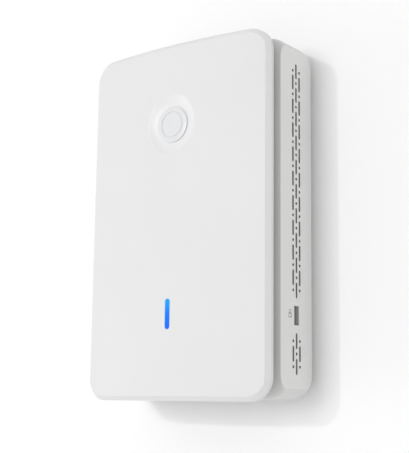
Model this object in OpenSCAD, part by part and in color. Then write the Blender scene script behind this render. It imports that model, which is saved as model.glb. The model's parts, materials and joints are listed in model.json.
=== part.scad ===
// Wall-mounted wireless access point and range extender.
// A crowned front cover stands on a ventilated housing, which hangs on a steel wall bracket.
// The wall is the plane Y = 0, the front faces -Y, and the origin is the middle of the bracket's
// screw pattern. Every module is drawn flat, with x to the right, y up and z out of the wall,
// and onwall() stands it up.

/* [Overall size] */
// Width of the front cover
cover_w = 86.6; // [80:0.2:106]
// Height of the front cover
cover_h = 139; // [128:0.5:170]
// Depth of the housing, from its back to the seat of the cover
body_d = 25.5; // [24.5:0.5:32]

/* [Front cover] */
// Rise of the crowned face above its side edges
crown = 3.7; // [2:0.1:6]
// Corner radius of the cover's outer edge
cover_r = 9; // [5:0.5:14]
// Width of the bevel around the face
bevel_w = 1.8; // [0.8:0.1:2.6]
// Depth of the bevel around the face
bevel_d = 1.55; // [0.8:0.05:2.6]
// Straight rim behind the bevel
rim_t = 1.45; // [1:0.05:3]
// Wall thickness of the cover
cover_t = 2; // [1.6:0.1:2.6]
// Height of the shadow gap between the cover and the housing
shadow_gap = 3.6; // [2:0.1:6]
// Depth of the locating lip inside the housing
lip_d = 2.2; // [1:0.1:3]
// Thickness of the locating lip
lip_t = 1.2; // [0.8:0.1:1.6]
// Clearance around the locating lip
lip_fit = 0.2; // [0.1:0.05:0.4]
// Width of the ledge on the housing that the cover's neck stands on
seat = 1; // [0.8:0.1:1.4]
// Corner radius of the housing's mouth
mouth_r = 6; // [5:0.5:8]

/* [Badge] */
// Radius of the round dish in the face
dish_r = 11.7; // [8:0.1:15]
// Depth of the dish
dish_d = 1.5; // [0.8:0.1:1.8]
// Height of the dish's centre above the middle of the cover
dish_y = 36.8; // [28:0.1:40]
// Radius of the badge disc
badge_r = 7.2; // [4:0.1:7.4]
// Thickness of the badge disc
badge_t = 0.6; // [0.5:0.1:0.9]
// Outer radius of the thin ring groove in the disc
groove_r = 5.2; // [3:0.1:6]
// Width of the ring groove
groove_w = 0.45; // [0.3:0.05:1]
// Depth of the ring groove
groove_d = 0.25; // [0.1:0.05:0.4]

/* [Status light] */
// Width of the light strip
light_w = 2.2; // [1.5:0.1:4]
// Length of the light strip
light_l = 11.5; // [8:0.1:18]
// Height of the light's centre above the cover's lower edge
light_up = 32.4; // [26:0.1:40]
// Gap around the light strip in the face
light_fit = 0.06; // [0.03:0.01:0.2]
// Width of the hidden flange around the light strip
light_flange = 1.4; // [0.8:0.1:2]
// Thickness of the hidden flange
flange_t = 1.2; // [0.8:0.1:1.6]

/* [Housing] */
// How far the cover stands out past each vent panel
panel_step = 0.4; // [0:0.1:1.5]
// How far the cover stands out past the housing at the top and bottom
end_step = 0.85; // [0:0.05:2]
// How far the rounded hull would reach past each flat vent panel
bulge = 1.75; // [1:0.05:3]
// Corner radius of the housing's outline
body_r = 9.3; // [8.5:0.1:14]
// Radius of the housing's rounded front edges
edge_r = 6; // [5:0.1:6.4]
// Radius of the housing's rounded rear edges
rear_r = 8.2; // [6:0.1:8.5]
// Wall thickness of the housing
wall = 2; // [1.6:0.1:2.4]
// Gap between the housing and the wall it hangs on
wall_gap = 0.8; // [0.4:0.1:1.5]
// Depth of the pocket in the back that hides the bracket
pocket_d = 3.6; // [3.4:0.1:4.2]
// Wall left between the pocket and the housing's rounded edge
pocket_edge = 2.1; // [1.5:0.1:4]
// Height of the pocket
pocket_h = 112; // [104:0.5:140]

/* [Vents] */
// Distance between two dashes in one column
vent_pitch = 9.4; // [8:0.1:12]
// Distance between the three columns
vent_column = 2.3; // [2:0.1:3]
// Length of a dash
dash_l = 5.9; // [4:0.1:6.4]
// Width of a dash
dash_w = 1.15; // [0.8:0.05:1.5]
// Diameter of a dot
dot_d = 1.2; // [0.8:0.05:1.5]
// Space kept between the vents and the housing's upper end
vent_margin = 12; // [9:0.5:20]

/* [Security slot] */
// Length of the slot
slot_l = 7; // [7:0.1:7.4]
// Width of the slot
slot_w = 3; // [3:0.1:3.4]
// Height of the slot above the housing's lower end
slot_up = 30.85; // [28:0.05:36]
// Draft round the slot where it is moulded through the wall
slot_ease = 0.2; // [0:0.05:0.4]
// Height of the padlock symbol beside the slot
symbol_h = 3; // [1.5:0.1:3.5]
// Distance from the slot to the symbol
symbol_gap = 4.5; // [4:0.1:6]
// Depth of the symbol's recess
symbol_d = 0.2; // [0.1:0.05:0.4]
// Distance from the housing's side wall to the post that holds the slot's steel plate
lock_in = 8; // [7:0.5:9]
// Half height of the slot's steel plate
lock_half = 8; // [6:0.5:9]

/* [Wall bracket] */
// Thickness of the bracket's steel
steel_t = 1.2; // [1:0.1:1.4]
// Distance that the unit lifts before it comes off its hooks
lift = 8; // [6:0.5:10]
// Gap between the bracket and the sides of its pocket
bracket_fit = 0.8; // [0.4:0.1:1.5]
// Distance between the two side screw slots
screws_x = 60.3; // [60:0.1:62]
// Distance between the upper and lower screw slots
screws_y = 83.3; // [80:0.1:84]
// Width of a screw slot
screw_d = 4.2; // [3.8:0.1:5]
// Length of a screw slot
screw_slot = 7; // [5.5:0.1:8]
// Width of the cable window
window_w = 44; // [36:0.5:46]
// Height of the cable window
window_h = 34; // [30:0.5:36]
// Thickness of a hook's lip
hook_t = 1; // [0.8:0.1:1.1]
// Height of the ledge that sits behind a hook
ledge_h = 6; // [4:0.5:7]
// Depth of a ledge from the side of the pocket
ledge_w = 5; // [4:0.1:6]
// Distance of the hooks from the middle, up and down
hook_y = 28; // [24:0.5:32]
// Clearance between a hook and its ledge
hook_fit = 0.3; // [0.2:0.05:0.4]

/* [Bracket tongue] */
// Length of the sprung tongue
tongue_l = 16.5; // [14:0.5:18]
// Width of the sprung tongue
tongue_w = 8.4; // [6:0.1:10]
// Angle at which the tongue stands off the plate
tongue_a = 8; // [7:0.25:9]
// How far the tongue's tip is pressed in over the whole lift
tongue_push = 0.8; // [0.6:0.1:0.9]
// Gap between the tongue and the window it is cut in
tongue_gap = 0.8; // [0.5:0.1:1.2]
// Width of the ramp that presses the tongue
ramp_w = 3; // [2:0.5:6]
// Clearance between the tongue and the ramp that presses it
ramp_fit = 0.12; // [0.08:0.02:0.2]

/* [Board] */
// Thickness of the main board
board_t = 1.6; // [1:0.1:2]
// Distance from the housing's front face down to the board's rear face
board_down = 5.8; // [5:0.1:6]
// Gap between the board and the cover's lip
board_fit = 0.5; // [0.3:0.1:1]
// Distance of the corner screws from the board's side edges
screw_in = 3.4; // [3:0.1:5]
// Distance of the corner screws from the ends of the bracket's pocket
screw_end = 4.2; // [4:0.1:6]
// Radius of the corner screws
corner_screw_r = 1.5; // [1.25:0.05:1.75]
// Length of a corner screw's thread in the cover
corner_thread = 8; // [6:0.5:9]
// Clearance of a screw in its thread
thread_fit = 0.02; // [0.01:0.01:0.05]
// Clearance of a screw in a plain hole
hole_fit = 0.2; // [0.1:0.05:0.4]
// How far a corner screw's head stands out past its shank
corner_head = 1.2; // [0.9:0.1:1.5]
// Radius of the small screws inside
small_screw_r = 1; // [0.8:0.1:1.25]
// How far a small screw's head stands out past its shank
small_head = 0.9; // [0.7:0.1:1.2]
// Thickness of a small screw's head
small_head_t = 1.3; // [1:0.1:1.6]

/* [Chips] */
// Side of the processor
processor_w = 17; // [14:0.5:20]
// Thickness of the processor
chip_t = 1.4; // [1:0.1:1.8]
// Thickness of the radio and switch chips
thin_chip_t = 0.9; // [0.7:0.1:1.2]
// Width of a memory chip
memory_w = 8; // [7:0.5:9]
// Length of a memory chip
memory_h = 12; // [10:0.5:14]
// Thickness of a memory chip
memory_t = 1.1; // [0.9:0.1:1.3]
// Side of a radio chip
radio_w = 9; // [7:0.5:12]
// Side of the network switch chip
switch_w = 12; // [9:0.5:14]

/* [Shields] */
// Thickness of a shield's sheet
sheet_t = 0.3; // [0.2:0.05:0.4]
// Width of the radio shield
radio_can_w = 34; // [30:0.5:36]
// Height of the radio shield
radio_can_h = 30; // [24:0.5:32]
// Width of the two smaller shields
small_can_w = 22; // [18:0.5:24]
// Height of the two smaller shields
small_can_h = 24; // [20:0.5:26]
// How far the radio and switch shields stand off the board
can_t = 2.4; // [1.8:0.1:3]
// How far the power shield stands off the board
power_can_t = 2.8; // [1.8:0.1:3.2]

/* [Heat spreader] */
// Width of the heat spreader
spreader_w = 50; // [46:0.5:54]
// Height of the heat spreader
spreader_h = 46; // [40:0.5:48]
// Height of the spreader's centre above the middle of the board
spreader_y = 29; // [26:0.5:30]
// Thickness of the spreader's plate
spreader_t = 1.8; // [1.2:0.1:2.4]
// Sideways distance of the spreader's posts from its centre
post_x = 21; // [19:0.5:22]
// Distance of the spreader's posts from its centre, up and down
post_y = 18; // [16:0.5:20]
// Radius of a post
post_r = 2.6; // [2:0.1:3]
// Thickness of the thermal pad
pad_t = 0.8; // [0.5:0.1:1.2]
// Half side of the thermal pad
pad_half = 9; // [7:0.5:10]

/* [Power parts] */
// Half side of the transformer's two flanges
transformer_half = 7; // [6:0.1:7.5]
// Height of the transformer
transformer_h = 9; // [8:0.1:10]
// Radius of the transformer's winding
winding_r = 5; // [4:0.1:6]
// Half side of the power inductor
inductor_half = 4.5; // [4:0.1:5]
// Height of the power inductor
inductor_h = 4.5; // [3:0.1:5]
// Radius of a capacitor
capacitor_r = 3.1; // [2.5:0.1:3.2]
// Height of a capacitor
capacitor_h = 9.5; // [7:0.5:11]
// Distance between two capacitors
capacitor_pitch = 8; // [7:0.1:8]

/* [Antennas] */
// Width of an antenna's plate
antenna_w = 5; // [4:0.1:6]
// Length of the antennas at the top
antenna_l = 20; // [16:0.5:21]
// Length of the antennas at the sides
side_antenna_l = 24; // [18:0.5:26]
// Thickness of an antenna's sheet
antenna_t = 0.4; // [0.3:0.05:0.5]
// Height of an antenna's plate above the housing's front face
antenna_up = 2; // [1:0.1:2.4]
// Distance between an antenna's two legs
leg_pitch = 5; // [4:0.1:6]

/* [Rating label] */
// Width of the label
label_w = 40; // [30:1:50]
// Height of the label
label_h = 18; // [12:1:24]
// Thickness of the label
label_t = 0.12; // [0.08:0.02:0.2]

/* [Ports] */
// Number of network ports in the bottom
ports = 4; // [1:1:4]
// Distance between two ports
port_pitch = 14; // [13.5:0.1:15]
// Width of a port's opening
port_w = 11.8; // [11.7:0.05:12]
// Height of a port's opening
port_h = 7.2; // [6.8:0.1:7.6]
// Width of the latch notch in a port
notch_w = 6.2; // [5.8:0.1:6.4]
// Depth of the latch notch in a port
notch_h = 2.2; // [1.6:0.1:2.4]
// Length of a port's cavity
port_l = 13.5; // [12.5:0.1:14.5]
// Height of the row of ports above its board
jack_h = 12.6; // [12:0.1:12.8]
// Length of a network jack
jack_l = 18; // [16:0.1:20]
// Wall of a network jack around its ports
jack_wall = 1; // [0.8:0.1:1.1]
// Gap between a jack and the housing's window
jack_fit = 0.2; // [0.1:0.05:0.4]

/* [Reset button] */
// Radius of the reset plunger
reset_r = 1.45; // [1:0.05:1.8]
// Running clearance of the plunger in its hole
reset_fit = 0.05; // [0.03:0.01:0.1]
// Travel of the plunger
reset_travel = 0.5; // [0.25:0.05:0.8]
// Sideways place of the plunger
reset_x = 33; // [32.5:0.1:33.5]
// Radius of the plunger's collar
collar_r = 2.3; // [2:0.1:2.6]
// Width of the reset switch
switch_body_w = 4.8; // [4:0.1:5]
// Length of the reset switch
switch_body_l = 4.5; // [3:0.1:5]
// Height of the reset switch
switch_body_h = 6; // [5:0.1:6.5]

/* [Hidden] */
$fn = 48;
tiny = 0.01;
past = 1; // how far a cutting tool reaches past what it cuts
skin = 0.6; // how far a boss sinks into the wall that it grows from
corner_small = 3; // corner radius of the bracket, its pocket and the inner plates

// Plan sizes, all measured from the middle
body_w = cover_w - 2 * panel_step;
body_h = cover_h - 2 * end_step;
hull_a = body_w / 2 + bulge;
hull_b = body_h / 2;
panel_x = body_w / 2;
face_a = cover_w / 2 - bevel_w;
face_b = cover_h / 2 - bevel_w;
face_r = cover_r - bevel_w;
neck_in = 0.25; // how far the neck stays inside the flat of the housing's front
neck_a = hull_a - edge_r - neck_in;
neck_b = hull_b - edge_r - neck_in;
mouth_a = neck_a - seat;
mouth_b = neck_b - seat;
lip_a = mouth_a - lip_fit;
lip_b = mouth_b - lip_fit;
step_w = 0.6; // small step between the cover's neck and the hollow behind its face
pocket_a = hull_a - edge_r - pocket_edge;
pocket_b = pocket_h / 2;

// Levels, measured out from the wall
back_z = wall_gap;
front_z = back_z + body_d;
rim_z = front_z + shadow_gap;
out_z = rim_z + rim_t;
edge_z = out_z + bevel_d;
top_z = edge_z + crown;
pocket_z = back_z + pocket_d;
floor_z = pocket_z + wall;
board_z = front_z - board_down;
parts_z = board_z + board_t;
mid_z = back_z + body_d / 2;
crown_r = (face_a * face_a + crown * crown) / (2 * crown);

// Pieces that line up across nodes
light_y = light_up - cover_h / 2;
slot_y = slot_up - body_h / 2;
vent_rows = floor((body_h / 2 - vent_margin - slot_y) / vent_pitch);
board_a = lip_a - lip_t - board_fit;
board_end = 1.4; // gap between the board's ends and the housing's mouth
board_b = mouth_b - board_end;
screw_x = board_a - screw_in;
screw_y = pocket_b - screw_end;
corner_screws = [for (sx = [-1, 1]) for (sy = [-1, 1]) [sx * screw_x, sy * screw_y]];
inner_x = panel_x - wall;
inner_y = hull_b - wall;
jack_w = ports * port_pitch + 0.6;
jack_low_y = 0.25 - hull_b;
uplink_y = -2;
uplink_w = 16.4;
uplink_h = 14.2;
uplink_low = pocket_z + 0.2;
uplink_shift = 0.8; // the port's height above the middle of its jack
reset_z = board_z - 3.2;
reset_tip_y = 0.4 - hull_b;
collar_t = 1;
collar_y = reset_tip_y + wall + 0.6;
switch_y = collar_y + collar_t + 0.2 + reset_travel + 0.1;
posts = [for (sx = [-1, 1]) for (sy = [-1, 1]) [sx * post_x, spreader_y + sy * post_y]];
lower_y = -16; // height of the middle of the two smaller shields
lower_x = 18.5; // sideways distance of the two smaller shields

// Places that depend on the levels above
symbol_up = 0.6;
vent_rows_below = 2;
lip_z = pocket_z - hook_fit - hook_t;
dish_floor = top_z - dish_d;
led_t = 0.9;
led_top = parts_z + led_t + 0.4;
flange_z = top_z - cover_t - flange_t - 0.1;
pad_z = board_z - chip_t - pad_t;
post_bore = 5;
lock_foot_z = floor_z + 2;
lock_x = inner_x - lock_in;
lock_post_r = 2.6;
lock_thread = 3;
contact_l = 8;
port_mid = board_z - jack_h + jack_wall + notch_h + port_h / 2;
antenna_in = 4.2;
top_antenna_x = 12;
side_antenna_y = 20;
label_y = 30;
bracket_a = pocket_a - bracket_fit;
bracket_low = lift + 0.6 - pocket_b;
bracket_high = pocket_b - 0.6;

// Places of the tongue, whose root turns about the middle of the steel
tongue_y = -window_h / 2 - tongue_l - 2.5;
root_z = steel_t / 2;
tip_y = tongue_y + tongue_l * cos(tongue_a);
tip_z = root_z + tongue_l * sin(tongue_a) + steel_t / 2;

function port_x(i) = (i - (ports - 1) / 2) * port_pitch;

// The crowned face's level at a distance x from the middle
function face_z(x) = top_z - crown_r + sqrt(crown_r * crown_r - x * x);

// Half outline of a rounded rectangle, from left to right along its upper side
crown_steps = 16;
function half_outline(a, b, r) = concat(
    [for (t = [0:15:90]) [-(a - r) - r * cos(t), b - r + r * sin(t)]],
    [for (i = [1:crown_steps - 1]) [(a - r) * (2 * i / crown_steps - 1), b]],
    [for (t = [90:-15:0]) [a - r + r * cos(t), b - r + r * sin(t)]]);

// Closed ring of points from a half outline, at the levels zs
function ring(half, zs) = concat(
    [for (i = [0:len(half) - 1]) [half[i].x, half[i].y, zs[i]]],
    [for (i = [len(half) - 1:-1:0]) [half[i].x, -half[i].y, zs[i]]]);

// Solid between rings of equal length, the first one on top and the last one flat
module ring_solid(rings) {
    n = len(rings[0]);
    m = n / 2;
    last = (len(rings) - 1) * n;
    top_faces = [for (i = [0:m - 2]) [i, i + 1, n - 2 - i, n - 1 - i]];
    side_faces = [for (k = [0:len(rings) - 2]) for (i = [0:n - 1]) each [
        [k * n + i, (k + 1) * n + i, (k + 1) * n + (i + 1) % n],
        [k * n + i, (k + 1) * n + (i + 1) % n, k * n + (i + 1) % n]]];
    base_face = [[for (i = [n - 1:-1:0]) last + i]];
    polyhedron([for (r = rings) each r], concat(top_faces, side_faces, base_face));
}

// Crowned block with the half sizes a and b, whose face lies a distance down below the cover's face
module crowned_block(a, b, r, down, low_z) {
    half = half_outline(a, b, r);
    ring_solid([ring(half, [for (p = half) face_z(p.x) - down]), ring(half, [for (p = half) low_z])]);
}

module onwall() {
    rotate([90, 0, 0]) children();
}

module rounded_plan(a, b, r) {
    square([2 * (a - r), 2 * b], center = true);
    square([2 * a, 2 * (b - r)], center = true);
    for (sx = [-1, 1])
        for (sy = [-1, 1])
            translate([sx * (a - r), sy * (b - r)]) circle(r);
}

module slab(a, b, r, z0, z1) {
    translate([0, 0, z0]) linear_extrude(z1 - z0) rounded_plan(a, b, r);
}

module block(x, y, z) {
    translate([x[0], y[0], z[0]]) cube([x[1] - x[0], y[1] - y[0], z[1] - z[0]]);
}

module disc(p, r, z0, z1) {
    translate([p.x, p.y, z0]) cylinder(r = r, h = z1 - z0);
}

// Upright strip with round ends, in plan
module strip(w, l) {
    square([w, l - w], center = true);
    for (s = [-1, 1])
        translate([0, s * (l - w) / 2]) circle(w / 2);
}

// Rounded rectangle whose upper corners have the radius top_r and whose lower ones have low_r
module edge_plan(a, b, top_r, low_r) {
    intersection() {
        rounded_plan(a, b, top_r);
        translate([-a, 0]) square([2 * a, b]);
    }
    intersection() {
        rounded_plan(a, b, low_r);
        translate([-a, -b]) square([2 * a, b + tiny]);
    }
}

// Pillow-like hull: a rounded outline whose front and rear edges are rounded too
module pillow(a, b, r, edge, rear, z0, z1) {
    depth = z1 - z0;
    translate([0, 0, (z0 + z1) / 2]) {
        rotate([90, 0, 90])
            linear_extrude(2 * (a - r), center = true) edge_plan(b, depth / 2, edge, rear);
        rotate([90, 0, 0])
            linear_extrude(2 * (b - r), center = true) edge_plan(a, depth / 2, edge, rear);
        for (sx = [-1, 1])
            for (sy = [-1, 1])
                translate([sx * (a - r), sy * (b - r), 0])
                    rotate_extrude()
                        intersection() {
                            edge_plan(r, depth / 2, edge, rear);
                            translate([0, -depth / 2]) square([r, depth]);
                        }
    }
}

// Dots and dashes of one vent panel, in plan with the columns upright
module vent_plan() {
    for (k = [-vent_rows_below:vent_rows])
        if (k != 0)
            translate([0, k * vent_pitch]) {
                strip(dash_w, dash_l);
                for (s = [-1, 1])
                    translate([s * vent_column, 0]) circle(dot_d / 2);
            }
    for (k = [-vent_rows_below:vent_rows - 1])
        if (k != 0 && k != -1)
            translate([0, (k + 0.5) * vent_pitch]) {
                circle(dot_d / 2);
                for (s = [-1, 1])
                    translate([s * vent_column, 0]) strip(dash_w, dash_l);
            }
}

// Padlock symbol in outline, standing upright with its shackle on top
module padlock_plan() {
    line = symbol_h * 0.1;
    body = [symbol_h * 0.7, symbol_h * 0.55];
    shackle = [symbol_h * 0.5, symbol_h * 0.7];
    hole_l = symbol_h - body.y - line;
    difference() {
        union() {
            translate([0, (body.y - symbol_h) / 2]) square(body, center = true);
            translate([0, (symbol_h - shackle.y) / 2]) strip(shackle.x, shackle.y);
        }
        translate([0, (body.y - symbol_h) / 2])
            square([body.x - 2 * line, body.y - 2 * line], center = true);
        translate([0, symbol_h / 2 - line - hole_l / 2]) strip(shackle.x - 2 * line, hole_l);
    }
}

// Turns a plan drawn with x out of the wall and y up into the plane of a side panel
module sideways() {
    rotate([0, -90, 0]) children();
}

module side_cuts() {
    for (s = [-1, 1])
        translate([s * panel_x + wall + tiny, slot_y, mid_z])
            sideways() linear_extrude(2 * wall + 2 * tiny) vent_plan();
    translate([panel_x + tiny, slot_y, mid_z])
        sideways() linear_extrude(wall + 2 * tiny)
            square([slot_w + slot_ease, slot_l + slot_ease], center = true);
    translate([panel_x + tiny, slot_y + symbol_up, mid_z + symbol_gap])
        sideways() linear_extrude(symbol_d) padlock_plan();
}

// Everything that opens the housing's walls
module housing_cuts() {
    side_cuts();
    slab(mouth_a, mouth_b, mouth_r, front_z - wall - past, front_z + past);
    slab(pocket_a, pocket_b, corner_small, back_z - past, pocket_z);
    block([-uplink_w / 2 - jack_fit, uplink_w / 2 + jack_fit],
        [uplink_y - uplink_h / 2 - jack_fit, uplink_y + uplink_h / 2 + jack_fit],
        [pocket_z - past, floor_z + past]);
    block([-jack_w / 2 - jack_fit, jack_w / 2 + jack_fit],
        [-hull_b - past, -inner_y + past],
        [board_z - jack_h - jack_fit, board_z - 0.3]);
    translate([reset_x, -hull_b - past, reset_z])
        rotate([-90, 0, 0]) cylinder(r = reset_r + reset_fit, h = wall + 2 * past);
    for (p = corner_screws)
        disc(p, corner_screw_r + hole_fit, pocket_z - past, board_z + past);
}

// Ledges that drop behind the bracket's hooks
module hanging_ledges() {
    ledge_z = steel_t + 0.5;
    for (sx = [-1, 1])
        for (y = [-hook_y, hook_y])
            translate([sx * (pocket_a - ledge_w / 2 + skin / 2), y + ledge_h / 2, ledge_z])
                linear_extrude(lip_z - hook_fit - ledge_z)
                    square([ledge_w + skin, ledge_h], center = true);
}

// Wedge that presses the bracket's tongue as the unit is lifted
module tongue_ramp() {
    slope = tongue_push / lift;
    low = lift + 0.5;
    high = 2;
    ramp_z = tip_z + ramp_fit;
    translate([-ramp_w / 2, tip_y, 0])
        rotate([90, 0, 90])
            linear_extrude(ramp_w)
                polygon([[-low, ramp_z - slope * low], [high, ramp_z + slope * high],
                    [high, pocket_z + skin], [-low, pocket_z + skin]]);
}

module housing() {
    color("gainsboro") onwall() {
        difference() {
            union() {
                difference() {
                    intersection() {
                        pillow(hull_a, hull_b, body_r, edge_r, rear_r, back_z, front_z);
                        block([-panel_x, panel_x], [-hull_b - past, hull_b + past],
                            [0, front_z + past]);
                    }
                    difference() {
                        intersection() {
                            pillow(hull_a - wall, inner_y, body_r - wall, edge_r - wall,
                                rear_r - wall, back_z + wall, front_z - wall);
                            block([-inner_x, inner_x], [-hull_b, hull_b], [0, front_z]);
                        }
                        slab(pocket_a + wall, pocket_b + wall, corner_small + wall, 0, floor_z);
                    }
                }
                for (p = corner_screws)
                    disc(p, corner_screw_r + 2, pocket_z + skin, board_z);
                disc([lock_x, slot_y], lock_post_r, pocket_z + skin, lock_foot_z);
            }
            housing_cuts();
            disc([lock_x, slot_y], small_screw_r, lock_foot_z - lock_thread, lock_foot_z + past);
        }
        hanging_ledges();
        tongue_ramp();
    }
}

// Steel angle behind the security slot, which takes the pull of the lock
module lock_plate() {
    plate_x = inner_x - 0.1;
    color("silver") onwall()
        difference() {
            union() {
                block([plate_x - steel_t, plate_x], [slot_y - lock_half, slot_y + lock_half],
                    [lock_foot_z, board_z - 0.6]);
                block([lock_x - 4, plate_x], [slot_y - lock_half, slot_y + lock_half],
                    [lock_foot_z, lock_foot_z + steel_t]);
            }
            translate([plate_x + past, slot_y, mid_z])
                sideways() linear_extrude(steel_t + 2 * past) square([slot_w, slot_l], center = true);
            disc([lock_x, slot_y], small_screw_r + hole_fit, lock_foot_z - past,
                lock_foot_z + steel_t + past);
        }
}

module lock_plate_screw() {
    color("gray") onwall()
        small_screw([lock_x, slot_y], lock_foot_z - lock_thread + 0.4, lock_foot_z + steel_t);
}

// Pan-head screw whose shank starts at the level low and whose head sits on the level seat_z
module small_screw(p, low, seat_z) {
    disc(p, small_screw_r - thread_fit, low, seat_z + tiny);
    disc(p, small_screw_r + small_head, seat_z, seat_z + small_head_t);
}

// Face, bevel and rim of the cover as one solid
module cover_plate() {
    inner = half_outline(face_a, face_b, face_r);
    outer = half_outline(cover_w / 2, cover_h / 2, cover_r);
    squeeze = face_a / (cover_w / 2);
    ring_solid([
        ring(inner, [for (p = inner) face_z(p.x)]),
        ring(outer, [for (p = outer) face_z(p.x * squeeze) - bevel_d]),
        ring(outer, [for (p = outer) rim_z])]);
}

// The dish is a shallow bowl with a flat floor for the badge
module dish_cut() {
    translate([0, dish_y, 0])
        rotate_extrude()
            polygon([[0, dish_floor], [badge_r + 0.1, dish_floor], [badge_r + 1.5, dish_floor + 0.1],
                [dish_r - 1.4, top_z - 0.55], [dish_r, top_z], [dish_r, top_z + 2], [0, top_z + 2]]);
}

module front_cover() {
    backing_r = dish_r + cover_t;
    color("whitesmoke") onwall()
        difference() {
            union() {
                difference() {
                    cover_plate();
                    crowned_block(lip_a - lip_t - step_w, lip_b - lip_t - step_w,
                        mouth_r - lip_t - step_w, cover_t, rim_z - past);
                }
                difference() {
                    union() {
                        slab(neck_a, neck_b, mouth_r + seat, front_z, rim_z + skin);
                        slab(lip_a, lip_b, mouth_r - lip_fit, front_z - lip_d, rim_z + skin);
                    }
                    slab(lip_a - lip_t, lip_b - lip_t, mouth_r - lip_t,
                        front_z - lip_d - past, rim_z + past);
                }
                for (p = corner_screws)
                    disc(p, corner_screw_r + 1.5, parts_z, face_z(p.x) - cover_t / 2);
                disc([0, dish_y], backing_r, dish_floor - cover_t, face_z(backing_r) - cover_t / 2);
            }
            dish_cut();
            translate([0, light_y, top_z - cover_t - past])
                linear_extrude(cover_t + 2 * past)
                    strip(light_w + 2 * light_fit, light_l + 2 * light_fit);
            for (p = corner_screws)
                disc(p, corner_screw_r, parts_z - past, parts_z + corner_thread);
        }
}

module cover_screws() {
    head_t = 1.7;
    drive = [2.6, 0.6, 1];
    color("dimgray") onwall()
        for (p = corner_screws)
            difference() {
                union() {
                    disc(p, corner_screw_r - thread_fit, pocket_z - tiny, parts_z + corner_thread - 1);
                    disc(p, corner_screw_r + corner_head, pocket_z - head_t, pocket_z);
                }
                for (a = [0, 90])
                    translate([p.x, p.y, pocket_z - head_t + drive.z / 2 - tiny])
                        rotate(a) cube(drive, center = true);
            }
}

module badge() {
    color("lightgray") onwall()
        difference() {
            disc([0, dish_y], badge_r, dish_floor, dish_floor + badge_t);
            translate([0, dish_y, dish_floor + badge_t - groove_d])
                difference() {
                    cylinder(r = groove_r, h = past);
                    translate([0, 0, -past]) cylinder(r = groove_r - groove_w, h = 3 * past);
                }
        }
}

module light_pipe() {
    color("dodgerblue") onwall() {
        translate([0, light_y, led_top])
            linear_extrude(top_z - led_top) strip(light_w, light_l);
        translate([0, light_y, flange_z])
            linear_extrude(flange_t) strip(light_w + 2 * light_flange, light_l + 2 * light_flange);
    }
}

module light_gasket() {
    color("black") onwall()
        translate([0, light_y, parts_z])
            linear_extrude(flange_z - parts_z)
                difference() {
                    strip(light_w + 2 * light_flange, light_l + 2 * light_flange);
                    strip(light_w + 2 * light_fit, light_l + 2 * light_fit);
                }
}

module status_leds() {
    led_half = 0.8;
    color("lightyellow") onwall()
        for (s = [-1, 1])
            slab_at([0, light_y + s * light_l / 4], led_half, led_half, 0.2, parts_z, parts_z + led_t);
}

module main_board() {
    color("darkgreen") onwall()
        difference() {
            slab(board_a, board_b, corner_small, board_z, parts_z);
            for (p = corner_screws)
                disc(p, corner_screw_r + hole_fit, board_z - past, parts_z + past);
            for (p = posts)
                disc(p, small_screw_r + hole_fit, board_z - past, parts_z + past);
        }
}

module slab_at(p, a, b, r, z0, z1) {
    translate([p.x, p.y, 0]) slab(a, b, r, z0, z1);
}

// Chip on the board, w wide and h high about the point p, with a dot sunk in its outer face
module chip(p, w, h, thick, behind = false) {
    dot_in = 1.3;
    dot_deep = 0.1;
    outer = behind ? board_z - thick : parts_z + thick;
    mark = [p.x - w / 2 + dot_in, p.y + h / 2 - dot_in];
    difference() {
        block([p.x - w / 2, p.x + w / 2], [p.y - h / 2, p.y + h / 2],
            behind ? [outer, board_z] : [parts_z, outer]);
        disc(mark, 0.4, behind ? outer - past : outer - dot_deep, behind ? outer + dot_deep : outer + past);
    }
}

module processor() {
    color("darkslategray") onwall() chip([0, spreader_y], processor_w, processor_w, chip_t, true);
}

module thermal_pad() {
    color("lightpink") onwall()
        slab_at([0, spreader_y], pad_half, pad_half, 1, pad_z, pad_z + pad_t);
}

// Cast plate on four posts, with a pedestal that reaches the processor and fins at its sides
module heat_spreader() {
    low = floor_z + 0.4;
    plate_z = low + spreader_t;
    join_z = plate_z - 0.1;
    pedestal = pad_half + 2;
    fin_x = 15;
    fin_half = [2.4, 0.6];
    fin_h = 3;
    fin_pitch = 5;
    color("silver") onwall()
        difference() {
            union() {
                slab_at([0, spreader_y], spreader_w / 2, spreader_h / 2, corner_small, low, plate_z);
                slab_at([0, spreader_y], pedestal, pedestal, 1.5, join_z, pad_z);
                for (p = posts)
                    disc(p, post_r, join_z, board_z);
                for (i = [-2:2])
                    for (s = [-1, 1])
                        slab_at([s * fin_x, spreader_y + i * fin_pitch], fin_half.x, fin_half.y, 0.4,
                            join_z, plate_z + fin_h);
            }
            for (p = posts)
                disc(p, small_screw_r, board_z - post_bore, board_z + past);
        }
}

module spreader_screws() {
    color("gray") onwall()
        for (p = posts)
            small_screw(p, board_z - post_bore + 0.4, parts_z);
}

module memory_chips() {
    memory_x = 28.5;
    color("darkslategray") onwall()
        for (s = [-1, 1])
            chip([s * memory_x, spreader_y + 4], memory_w, memory_h, memory_t, true);
}

module radio_chips() {
    radio_x = 8.2;
    color("darkslategray") onwall()
        for (s = [-1, 1])
            chip([s * radio_x, spreader_y], radio_w, radio_w, thin_chip_t);
}

// Drawn metal can about the point p, with a thin wall and rows of small holes
module shield_can(p, w, h, tall) {
    difference() {
        slab_at(p, w / 2, h / 2, 0.8, parts_z, parts_z + tall);
        slab_at(p, w / 2 - sheet_t, h / 2 - sheet_t, 0.8 - sheet_t, parts_z - past,
            parts_z + tall - sheet_t);
        for (i = [-1:1])
            for (j = [-1:1])
                disc([p.x + i * w / 4, p.y + j * h / 4], 0.6, parts_z + tall - past,
                    parts_z + tall + past);
    }
}

module radio_shield() {
    color("silver") onwall() shield_can([0, spreader_y], radio_can_w, radio_can_h, can_t);
}

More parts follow.
